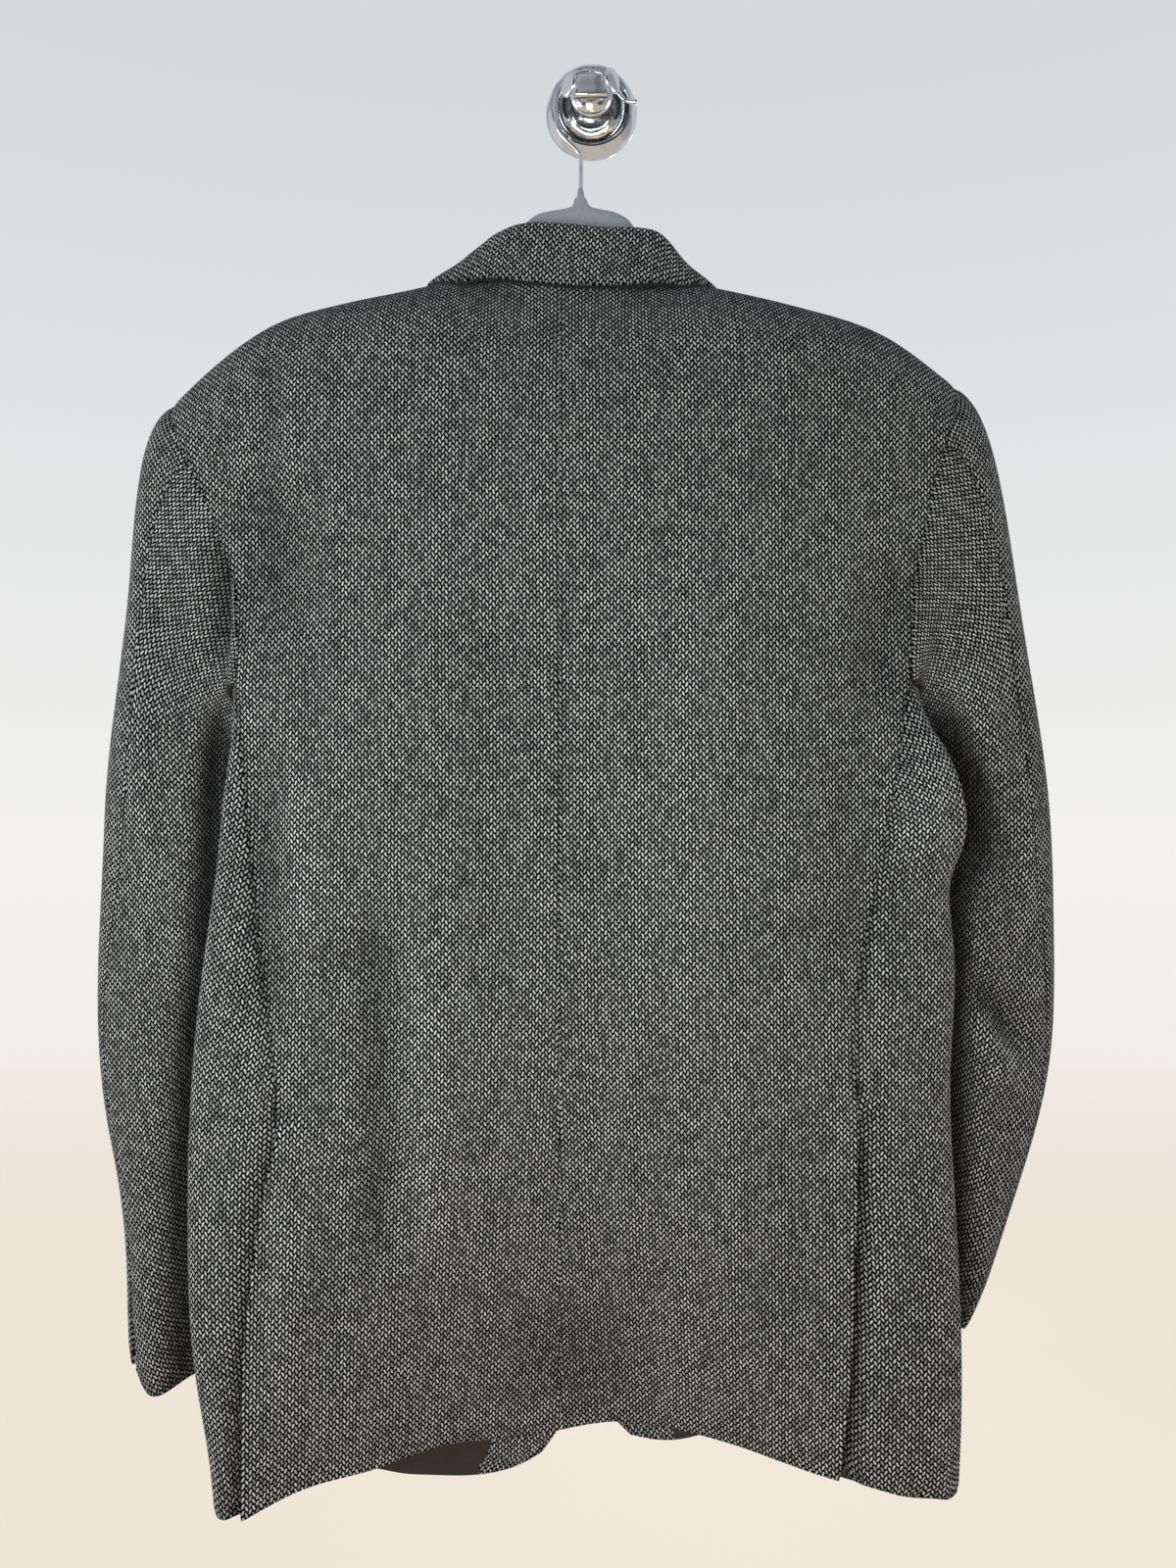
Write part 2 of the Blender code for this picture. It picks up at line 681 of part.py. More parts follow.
def finish(name, mesh, look_of, smooth_angle=40):
    """Makes an object of a bmesh, with its faces pointing out."""
    bmesh.ops.recalc_face_normals(mesh, faces=mesh.faces)
    data = bpy.data.meshes.new(name)
    mesh.to_mesh(data)
    mesh.free()
    data.shade_smooth()
    data.set_sharp_from_angle(angle=radians(smooth_angle))
    data.materials.append(look_of)
    made = bpy.data.objects.new(name, data)
    bpy.context.scene.collection.objects.link(made)
    return made


def row_frame(point):
    """(x, away, z) as a point of the model, with the wall at y = 0."""
    return (point[0], -point[1], point[2])


def cloth(name, grid, out, look_of, thick=WALL):
    """A wall of cloth: the grid is its outside, and out is the way that faces at each point."""
    inner = grid - out * thick
    rows, columns = grid.shape[:2]
    mesh = bmesh.new()
    layers = [
        [[mesh.verts.new(row_frame(point)) for point in row] for row in layer]
        for layer in (grid, inner)
    ]
    for layer in layers:
        for r in range(rows - 1):
            for c in range(columns - 1):
                mesh.faces.new((layer[r][c], layer[r][c + 1], layer[r + 1][c + 1], layer[r + 1][c]))
    rim = [(0, c) for c in range(columns)]
    rim += [(r, columns - 1) for r in range(1, rows)]
    rim += [(rows - 1, c) for c in range(columns - 2, -1, -1)]
    rim += [(r, 0) for r in range(rows - 2, 0, -1)]
    for (r1, c1), (r2, c2) in zip(rim, rim[1:] + rim[:1]):
        mesh.faces.new((layers[0][r1][c1], layers[0][r2][c2], layers[1][r2][c2], layers[1][r1][c1]))
    return finish(name, mesh, look_of)


def lathe(name, profile, look_of, centre=(0, 0, 0), axis=(0, 1, 0), sides=24, smooth_angle=40):
    """A turned solid: profile is (radius, distance along the axis), from axis to axis."""
    axis = np.array(axis, float) / np.linalg.norm(axis)
    first = np.cross(axis, (0, 0, 1) if abs(axis[2]) < 0.9 else (1, 0, 0))
    first /= np.linalg.norm(first)
    second = np.cross(axis, first)
    mesh = bmesh.new()
    loops = []
    for radius, reach in profile:
        middle = np.array(centre) + axis * reach
        turns = [2 * pi * k / sides for k in range(sides)] if radius else [0]
        loops.append(
            [
                mesh.verts.new(row_frame(middle + (first * cos(t) + second * sin(t)) * radius))
                for t in turns
            ]
        )
    for one, two in zip(loops, loops[1:]):
        for k in range(sides):
            corners = [one[k % len(one)], one[(k + 1) % len(one)], two[(k + 1) % len(two)], two[k % len(two)]]
            mesh.faces.new(list(dict.fromkeys(corners)))
    return finish(name, mesh, look_of, smooth_angle)


def loft(name, rings, look_of, smooth_angle=40):
    """A solid through rings of equal length, closed at both ends."""
    mesh = bmesh.new()
    loops = [[mesh.verts.new(row_frame(point)) for point in ring] for ring in rings]
    count = len(loops[0])
    for one, two in zip(loops, loops[1:]):
        for k in range(count):
            mesh.faces.new((one[k], one[(k + 1) % count], two[(k + 1) % count], two[k]))
    mesh.faces.new(loops[0])
    mesh.faces.new(loops[-1][::-1])
    return finish(name, mesh, look_of, smooth_angle)


def spot(grid, row, column):
    """A point of a grid, at fractional row and column numbers."""
    r, c = min(int(row), grid.shape[0] - 2), min(int(column), grid.shape[1] - 2)
    down, across = row - r, column - c
    upper = grid[r, c] * (1 - across) + grid[r, c + 1] * across
    lower = grid[r + 1, c] * (1 - across) + grid[r + 1, c + 1] * across
    return upper * (1 - down) + lower * down


def patch(grid, rows, columns):
    """Part of a grid, between fractional row and column numbers."""

    def numbers(low, high):
        inside = [k for k in range(int(low) + 1, int(np.ceil(high))) if low + 0.15 < k < high - 0.15]
        return [low, *inside, high]

    return np.array([[spot(grid, r, c) for c in numbers(*columns)] for r in numbers(*rows)])


def laid(grid, out, rows, columns, level):
    """A patch moved out by a distance (in, if it is negative), and the way it faces."""
    facing = patch(out, rows, columns)
    return patch(grid, rows, columns) + facing * level, facing


def depth_on(grid, x, z):
    """Distance from the wall of a front's grid, at a place on it."""
    nearest = None
    for r in range(grid.shape[0] - 1):
        for c in range(grid.shape[1] - 1):
            corners = (grid[r, c], grid[r, c + 1], grid[r + 1, c + 1], grid[r + 1, c])
            for one, two, three in ((0, 1, 2), (0, 2, 3)):
                a, b, d = corners[one], corners[two], corners[three]
                sides = np.array([[b[0] - a[0], d[0] - a[0]], [b[2] - a[2], d[2] - a[2]]])
                u, v = np.linalg.solve(sides, (x - a[0], z - a[2]))
                beyond = max(-u, -v, u + v - 1, 0)
                if nearest is None or beyond < nearest[0]:
                    nearest = (beyond, a[1] + u * (b[1] - a[1]) + v * (d[1] - a[1]))
    return nearest[1]


def round_armhole(back, side_body, front):
    """What the three panels hold along the armhole: down the back and up the front."""
    last = ARMPIT_ROW + 1
    return np.vstack([back[:last, -1], side_body[0, 1:-1], front[last - 1 : 0 : -1, -1]])


def armpit_share(count):
    """How much each thread of a sleeve lies over the side body's upper edge: 0 to 1."""
    thread = np.arange(count)
    middle = ARMPIT_ROW + SIDE_COLUMNS / 2
    return np.clip(SIDE_COLUMNS / 2 + 0.5 - np.abs(thread - middle), 0, 1)


def sleeve_grid(side, armhole):
    """Threads of a sleeve, from the armhole to the cuff.

    The threads go round from the shoulder point by the back and the armpit to the front.
    """
    last = ARMPIT_ROW + 1
    count = len(armhole)
    lowest = last + (SIDE_COLUMNS - 1) // 2
    lengths = np.linalg.norm(armhole - np.roll(armhole, 1, axis=0), axis=1)
    lengths[0] = 0
    walked = np.cumsum(lengths)
    whole = walked[-1] + np.linalg.norm(armhole[0] - armhole[-1])
    turn = np.where(
        np.arange(count) <= lowest,
        pi * walked / walked[lowest],
        pi + pi * (walked - walked[lowest]) / (whole - walked[lowest]),
    )
    sections = side["sleeve"]
    leave = table(  # the way the cloth leaves the armhole, and how far it keeps to it
        "turn out away down hold",
        (0, 0.92, -0.05, 0.38, 0.034),
        (pi / 2, 0.75, -0.30, 0.60, 0.050),
        (0.8 * pi, 0.80, -0.50, 0.20, 0.030),
        (pi, 0.95, -0.15, 0.10, 0.024),
        (1.2 * pi, 0.90, 0.05, 0.25, 0.022),
        (1.5 * pi, 0.75, -0.15, 0.65, 0.050),
        (2 * pi, 0.92, -0.05, 0.38, 0.034),
    )

    def ring(height, rise=None, turn=turn):
        outer, inner, near, far = (
            look(sections, name, height) for name in ("outer", "inner", "near", "far")
        )
        x = (outer + inner) / 2 + (outer - inner) / 2 * np.cos(turn)
        away = (near + far) / 2 + (far - near) / 2 * np.sin(turn)
        z = np.full(count, height)
        if rise:
            z += rise[0] * smoothstep((np.cos(turn) - CUFF_LOWEST) / (1 - CUFF_LOWEST))
            z += rise[1] * np.maximum(CUFF_LOWEST - np.cos(turn), 0)
        return np.column_stack([x, away, z])

    over = armpit_share(count)[:, None]
    first = ring(sections["height"][0])
    directions = np.array(
        [
            [
                side["sign"] * np.interp(t, leave["turn"], leave["out"]),
                np.interp(t, leave["turn"], leave["away"]),
                -np.interp(t, leave["turn"], leave["down"]),
            ]
            for t in turn
        ]
    )
    directions /= np.linalg.norm(directions, axis=1)[:, None]
    hold = np.interp(turn, leave["turn"], leave["hold"])[:, None]
    reach = np.linalg.norm(first - armhole, axis=1)[:, None] * 0.5
    upward = np.column_stack([-0.2 * side["sign"] * np.cos(turn), np.zeros(count), np.ones(count)])
    one = armhole + directions * hold
    two = first + upward * reach
    lift = directions * (1 - over) + np.array([0, 0, 1.4]) * over
    lift[:, 0] += side["sign"] * 4 * (over * (1 - over))[:, 0]
    rows = [armhole + lift * GAP]
    rows += [bezier(armhole, one, two, first, t) for t in (0.12, 0.28, 0.50, 0.75)]
    rows.append(first)
    heights = sections["height"][1:]
    for step, height in enumerate(heights, 1):
        twisted = turn - SLEEVE_TWIST * smoothstep(step / 4)
        rows.append(ring(height, side["cuff_rise"] if height == heights[-1] else None, twisted))
    return np.array(rows)


def sleeve(side, armhole, facing):
    """Top sleeve and under sleeve, joined at the hind seam and the front seam."""
    grid = sleeve_grid(side, armhole)
    count = grid.shape[1]
    closed = np.concatenate([grid[:, -1:], grid, grid[:, :1]], axis=1)
    out = outward(closed, (0, -1, 0))[:, 1:-1]
    if np.dot(out[-1, 0], (side["sign"], 0, 0)) < 0:
        out = -out
    over = armpit_share(count)[:, None]
    out[0] = facing * (1 - over) + np.array([0, 0, -1]) * over
    out[0] /= np.linalg.norm(out[0], axis=1)[:, None]
    top = [k % count for k in range(FORE, count + HIND + 1)]
    under = list(range(HIND, FORE + 1))
    for name, threads in (("top_sleeve_", top), ("under_sleeve_", under)):
        piece = trimmed(grid[:, threads], first=1.5 * GAP, last=1.5 * GAP)
        cloth(name + side["name"], piece, out[:, threads], tweed())
    return grid, out


def share_normals(one, other):
    """Makes two pieces face the same way along the seam that they share."""
    mean = one + other
    mean /= np.linalg.norm(mean, axis=-1)[..., None]
    one[...] = mean
    other[...] = mean


def torso(side):
    """Back, side body and front of one side, and the way each of them faces."""
    back = back_panel(side)
    front = front_panel(side)
    out_back = outward(back, (0, 1, 0))
    out_front = outward(front, (0, -1, 0))
    out_back[:, 0, 0] = 0  # the two halves of the back meet in one upright plane
    out_back[:, 0] /= np.linalg.norm(out_back[:, 0], axis=1)[:, None]
    share_normals(out_back[0, NECK_COLUMNS:], out_front[0])
    side_body = side_panel(side, back, out_back, front)
    out_side = outward(side_body, (side["sign"], 0, 0))
    share_normals(out_back[ARMPIT_ROW:VENT_ROW, -1], out_side[: VENT_ROW - ARMPIT_ROW, 0])
    share_normals(out_front[ARMPIT_ROW:, -1], out_side[:, -1])
    return (back, out_back), (side_body, out_side), (front, out_front)


def body():
    """Backs, side bodies, fronts and sleeves of both sides.

    Returns the fronts and the sleeves: the grid of each and the way it faces.
    """
    fronts, sleeves = {}, {}
    half = GAP / 2
    for side in (LEFT, RIGHT):
        pieces = torso(side)
        (back, out_back), (side_body, out_side), (front, out_front) = pieces
        name = side["name"]
        cloth("back_" + name, trimmed(back, top=half, first=half, last=half), out_back, tweed())
        cloth("front_" + name, trimmed(front, top=half, last=half), out_front, tweed())
        cloth("side_" + name, trimmed(side_body, top=half, first=GAP, last=GAP), out_side, tweed())
        armhole, facing = (round_armhole(*[piece[k] for piece in pieces]) for k in (0, 1))
        sleeves[name] = sleeve(side, armhole, facing)
        fronts[name] = pieces[2]
    return fronts, sleeves


def collar_grid():
    """The collar's outside: up the stand, over the roll and down the leaf, round the neck."""
    foot, roll, leaf = (
        np.column_stack([COLLAR[part + "_" + axis] for axis in ("x", "away", "z")])
        for part in ("foot", "roll", "leaf")
    )
    steps = np.linalg.norm(np.diff((foot + leaf) / 2, axis=0), axis=1)
    keys = np.concatenate([[0], np.cumsum(steps)])
    wanted = np.linspace(0, keys[-1], COLLAR_COLUMNS + 1)
    foot, roll, leaf = (hermite(keys, points, wanted) for points in (foot, roll, leaf))
    axis = np.gradient(roll, axis=0)
    axis /= np.linalg.norm(axis, axis=1)[:, None]
    span = leaf - foot
    span -= axis * np.sum(span * axis, axis=1)[:, None]
    upright = roll - (foot + leaf) / 2
    upright -= axis * np.sum(upright * axis, axis=1)[:, None]
    upright /= np.linalg.norm(upright, axis=1)[:, None]
    span -= upright * np.sum(span * upright, axis=1)[:, None]
    span /= np.linalg.norm(span, axis=1)[:, None]
    centre = roll - upright * ROLL_RADIUS
    stand, fall = centre - span * ROLL_RADIUS, centre + span * ROLL_RADIUS
    arc = [
        centre + (upright * sin(radians(angle)) - span * cos(radians(angle))) * ROLL_RADIUS
        for angle in (45, 90, 135)
    ]
    leaves = [fall * (1 - t) + leaf * t for t in (1 / 3, 2 / 3, 1)]
    return np.array([foot, (foot + stand) / 2, stand, *arc, fall, *leaves])


def collar():
    """The tweed collar, and the felt beneath its leaf that shows below the edge."""
    grid = collar_grid()
    out = outward(grid, (0, 0, 1))
    if out[-2, COLLAR_COLUMNS // 2][1] < 0:
        out = -out
    cloth("collar_top", grid, out, tweed())
    felt = grid[6:] - out[6:] * (WALL + 1.5 * GAP)
    down = felt[-1] - felt[-2]
    felt[-1] += down * (FELT_SHOWS / np.linalg.norm(down, axis=1))[:, None]
    cloth("collar_under", felt, out[6:], undercollar_felt(), FELT)


def clear_scene():
    for thing in list(bpy.data.objects):
        bpy.data.objects.remove(thing)


def lapel(side, front):
    """The turned-back top of a front, on its wall side, from the gorge to the break."""
    edge = LAPEL_EDGE[side["name"]]
    grid = []
    for down in np.linspace(0, 1, LAPEL_ROWS + 1):
        row = []
        for across in np.linspace(0, 1, LAPEL_COLUMNS + 1):
            top = GORGE * (1 - across) + edge["height"][0] * across
            z = top * (1 - down) + edge["height"][-1] * down
            x = look(side["opening_edge"], "x", z) * (1 - across) + look(edge, "x", z) * across
            row.append((x, depth_on(front, x, z) - 3.5 * GAP - WALL, z))
        grid.append(row)
    grid = np.array(grid)
    cloth("lapel_" + side["name"], grid, outward(grid, (0, -1, 0)), tweed())


def fronts_trimmings(fronts):
    """Lapels, pocket flaps and breast welt outside; facings and linings inside."""
    for side in (LEFT, RIGHT):
        name = side["name"]
        front, out = fronts[name]
        lapel(side, front)
        cloth("flap_" + name, *laid(front, out, *FLAP[name], WALL + 2 * GAP), tweed())
        inside = -WALL - 5 * GAP
        cloth("facing_" + name, *laid(front, out, *FACING[name], inside), tweed(), FELT)
        cloth("lining_" + name, *laid(front, out, *LININGS[name], inside), twill_lining(), LINING)
    front, out = fronts["left"]
    cloth("breast_welt", *laid(front, out, *WELT, WALL + 2 * GAP), tweed())


def button(name, radius, thick, place, axis):
    profile = (
        (0, 0), (radius * 0.85, 0), (radius, thick * 0.3), (radius, thick * 0.7),
        (radius * 0.9, thick), (radius * 0.72, thick * 0.85), (0, thick * 0.75),
    )  # fmt: skip
    lathe(name, profile, horn(), place, axis, 16)


def buttons(fronts, sleeves):
    """Two on the left front, three up each cuff between the hind seam and the wall."""
    for name, height in (("upper", BREAK), ("lower", BREAK - BUTTON_SPACING)):
        away = depth_on(fronts["left"][0], CENTRE_FRONT, height) - 2 * GAP
        button("front_button_" + name, 0.010, 0.004, (CENTRE_FRONT, away, height), (0, -1, 0))
    for side in (LEFT, RIGHT):
        grid, out = sleeves[side["name"]]
        heights = grid[ARM_RINGS:, HIND, 2]
        for number in range(3):
            height = heights[-1] + 0.030 + 0.017 * number
            row = ARM_RINGS + np.interp(-height, -heights, np.arange(len(heights)))
            facing = spot(out, row, BUTTON_THREAD)
            facing /= np.linalg.norm(facing)
            place = spot(grid, row, BUTTON_THREAD) + facing * 2 * GAP
            name = "cuff_button_{}_{}".format(side["name"], number + 1)
            button(name, 0.0075, 0.003, place, facing)


def hanger():
    rings = []
    for x, top, bottom in zip(HANGER["x"], HANGER["top"], HANGER["bottom"]):
        middle, half = (top + bottom) / 2, (top - bottom) / 2
        shape = ((-0.0028, -0.8), (-0.0014, -1), (0.0014, -1), (0.0028, -0.8))
        shape += tuple((-depth, -height) for depth, height in shape)
        rings.append([(x, HANGER_AWAY + depth, middle + half * height) for depth, height in shape])
    loft("hanger_body", rings, flock())
    x, z, radius = WIRE_LOOP
    loop = [
        (x - radius * cos(radians(angle)), z + radius * sin(radians(angle)))
        for angle in range(-14, 150, 16)
    ]
    path = [  # the stem leans out to the hanger's own plane
        np.array((x, WIRE_AWAY + (HANGER_AWAY - WIRE_AWAY) * smoothstep((-z - 0.03) / 0.035), z))
        for x, z in (*WIRE_FOOT, *WIRE_BEND, *loop, *WIRE_TIP)
    ]
    rings = []
    for before, here, after in zip([path[0], *path], path, [*path[1:], path[-1]]):
        onward = (after - before) / np.linalg.norm(after - before)
        beside = np.cross(onward, (0, 1, 0))
        rings.append(
            [
                here + (beside * cos(2 * pi * k / 8) + np.array((0, sin(2 * pi * k / 8), 0))) * WIRE_RADIUS
                for k in range(8)
            ]
        )
    loft("hanger_hook", rings, chrome())


def wall_hook():
    rosette = (
        (0, 0), (0.0310, 0), (0.0310, 0.0020), (0.0288, 0.0095), (0.0275, 0.0125),
        (0.0262, 0.0130), (0.0252, 0.0120), (0.0236, 0.0085), (0.0205, 0.0050), (0.0160, 0.0032), (0, 0.0030),
    )  # fmt: skip
    lathe("wall_rosette", rosette, chrome(), sides=40)
    post = (
        (0, 0.0033), (0.0128, 0.0033), (0.0134, 0.0040), (0.0134, 0.0085), (0.0120, 0.0092),
        (0.0126, 0.0110), (0.0138, 0.0122), (0.0138, 0.0180), (0.0128, 0.0188), (0.0142, 0.0215),
        (0.0138, 0.0255), (0.0110, 0.0280), (0.0087, 0.0292), (0.0087, 0.0355), (0, 0.0355),
    )  # fmt: skip
    lathe("hook_post", post, chrome(), sides=32)
    outline = (
        (-0.0088, 0.0020), (0.0075, 0.0028), (0.0070, -0.0030), (0.0080, -0.0080), (0.0104, -0.0112),
        (-0.0118, -0.0118), (-0.0090, -0.0085), (-0.0082, -0.0030),
    )  # fmt: skip
    rings = [
        [(x * share, away, z * share) for x, z in outline]
        for away, share in ((0.0358, 0.72), (0.0378, 0.95), (0.0425, 1.0), (0.0440, 0.94))
    ]
    loft("hook_crown", rings, chrome())
    horn_profile = (
        (0, -0.0018), (0.0050, -0.0018), (0.0072, -0.0012), (0.0080, 0), (0.0076, 0.0012),
        (0.0060, 0.0018), (0, 0.0020),
    )  # fmt: skip
    for name, x, height, sign in (("left", -0.0148, -0.0046, -1), ("right", 0.0132, -0.0022, 1)):
        lathe(
            "hook_horn_" + name, horn_profile, chrome(), (x, 0.0435, height), (sign * 0.82, 0.57, 0), 20
        )


def main():
    clear_scene()
    fronts, sleeves = body()
    collar()
    fronts_trimmings(fronts)
    buttons(fronts, sleeves)
    hanger()
    wall_hook()


main()
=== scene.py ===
"""A barleycorn tweed blazer, seen from behind, on a slim flocked hanger and a chrome double robe hook.

The row frame is in metres: the wall is the plane y = 0 behind the hook, -Y comes out of it into
the room, X runs to the right and Z up. The blazer hangs with its back to the room."""

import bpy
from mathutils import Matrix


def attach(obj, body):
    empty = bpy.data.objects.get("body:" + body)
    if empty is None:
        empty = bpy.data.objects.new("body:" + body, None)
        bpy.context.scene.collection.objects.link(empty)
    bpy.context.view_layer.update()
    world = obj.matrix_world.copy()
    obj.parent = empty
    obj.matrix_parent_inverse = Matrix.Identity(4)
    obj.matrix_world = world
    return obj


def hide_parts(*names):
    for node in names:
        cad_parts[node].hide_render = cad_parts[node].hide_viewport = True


bl_info = {
    "name": "Tweed blazer on a robe hook",
    "version": (1, 0, 0),
    "blender": (4, 5, 0),
    "location": "3D View > Sidebar > Blazer",
    "description": "Sews the packed blazer's cloth, and finishes its buttons, hanger and wall hook",
    "category": "Object",
}

from math import cos, pi, radians, sin

import bmesh
import bpy
import numpy as np
from mathutils import Matrix, Vector
from mathutils.bvhtree import BVHTree
from mathutils.kdtree import KDTree

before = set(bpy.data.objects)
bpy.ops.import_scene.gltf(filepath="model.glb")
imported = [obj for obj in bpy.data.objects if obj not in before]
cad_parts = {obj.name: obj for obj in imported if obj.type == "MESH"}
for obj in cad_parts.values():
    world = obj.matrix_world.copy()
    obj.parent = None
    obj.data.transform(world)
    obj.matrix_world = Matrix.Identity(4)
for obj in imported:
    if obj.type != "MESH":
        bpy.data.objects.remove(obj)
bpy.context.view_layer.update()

TO_ROOM = (0, -1, 0)
TO_WALL = (0, 1, 0)

# Creases that each piece of cloth takes, by their names in CREASES below.
TORSO = ("torso", "left vent")
FRONT = ("fronts",)

# How each large sheet of cloth is read from its solid: the way its outside faces (None: the larger
# side), its creases, and the size it was cut to, in metres (width, length, area).
BACKS = {
    "back_left": (TO_ROOM, TORSO, (0.27, 0.79, 0.152)),
    "back_right": (TO_ROOM, TORSO, (0.27, 0.775, 0.154)),
}
SIDES = {
    "side_left": ((-1, 0, 0), TORSO, (0.175, 0.53, 0.064)),
    "side_right": ((1, 0, 0), TORSO, (0.215, 0.52, 0.080)),
}
FRONTS = {
    "front_left": (TO_WALL, FRONT, (0.285, 0.80, 0.145)),
    "front_right": (TO_WALL, FRONT, (0.26, 0.77, 0.130)),
}
SLEEVES = {
    "top_sleeve_left": (None, ("left sleeve",), (0.19, 0.64, 0.087)),
    "top_sleeve_right": (None, ("right sleeve",), (0.215, 0.63, 0.0865)),
    "under_sleeve_left": (None, ("left sleeve",), (0.16, 0.58, 0.066)),
    "under_sleeve_right": (None, ("right sleeve",), (0.165, 0.57, 0.064)),
}

# The sizes that the small sheets were cut to, and the front that each pocket piece lies on.
LAPEL_CUTS = {"left": (0.165, 0.32, 0.0235), "right": (0.15, 0.32, 0.0221)}
FACING_CUTS = {"left": (0.065, 0.105, 0.0043), "right": (0.062, 0.082, 0.0037)}
LINING_CUTS = {"left": (0.112, 0.108, 0.0101), "right": (0.083, 0.085, 0.0061)}
POCKETS = {
    "flap_left": ((0.104, 0.082, 0.0079), "front_left"),
    "flap_right": ((0.094, 0.079, 0.0067), "front_right"),
    "breast_welt": ((0.076, 0.026, 0.0013), "front_left"),
}

# Where each front's facing meets its lining, and the way to the front edge from there.
FACING_EDGE = {"front_left": (-0.0750, 1), "front_right": (0.0548, -1)}

# Thicknesses: of the solids' walls, and of the finished cloth
SOLID_TWEED = 0.002
SOLID_THIN = 0.001  # felt, facings and linings
FRONT_TRIM = 0.0017  # lapels and pocket pieces
ONE_PLY = 0.0009

# How a sheet is made
PANEL_HALVINGS = 3
SMALL_HALVINGS = 2
ROUNDS, ROUNDS_AGAIN = 60, 8  # of easing the flat pattern, before its creases and after them
CLEAR_OF_FRONT = 0.0032  # how far a facing or a lining stands off the front
TURNED_IN, LET_OUT = 0.0011, 0.00035  # at the seams of the body
SLEEVE_TURNED_IN, SLEEVE_LET_OUT = 0.0008, 0.0005
TRIM_TURNED_IN = 0.0006
FULL_SHADE_DEPTH = 0.012  # a crease this deep gets the full painted shade
SEAM_SHADE = 0.55  # how much painted shade a fully turned-in seam gets

# Where each sleeve meets the body at the armhole's foot, the share of the way that the cloth
# around it is gathered there, and how far around.
ARMHOLE_FEET = ((-0.2270, -0.0660, -0.3985), (0.2075, -0.0640, -0.3945))
GATHERED, GATHERED_AROUND = 0.85, 0.014
# The right side body is drawn in below the armhole: how far, the height and how far around.
DRAWN_IN, DRAWN_AT, DRAWN_AROUND = 0.0045, -0.478, 0.035

# The left cuff: where the top sleeve ends, how far it and the under sleeve part, what is left of
# the top sleeve's length below its end, and how much lower the under sleeve hangs.
CUFF_END = -0.8385
CUFF_PARTED = 0.0012
CUFF_LEFT_OVER = 0.12
CUFF_LOWER = 0.0045

# How the hem rises where the side bodies turn to the fronts, by steps: the side (1 right, -1 left),
# the rise, and where the step starts and ends, sideways and downwards.
HEM_RISES = (
    (1, 0.006, 0.185, 0.215, 0.84, 0.92),
    (1, 0.026, 0.214, 0.238, 0.84, 0.92),
    (-1, 0.018, 0.229, 0.246, 0.84, 0.92),
    (-1, 0.0078, 0.208, 0.232, 0.80, 0.88),
)

# How far each side body's underlap falls away beneath the back, and the heights between which it
# starts to.
UNDERLAP_DEEP = {"back_left": 0.0048, "back_right": 0.0075}
UNDERLAP_STARTS = (0.640, 0.690)

COLLAR_LOWERED = 0.0046  # at its ends, towards the shoulders

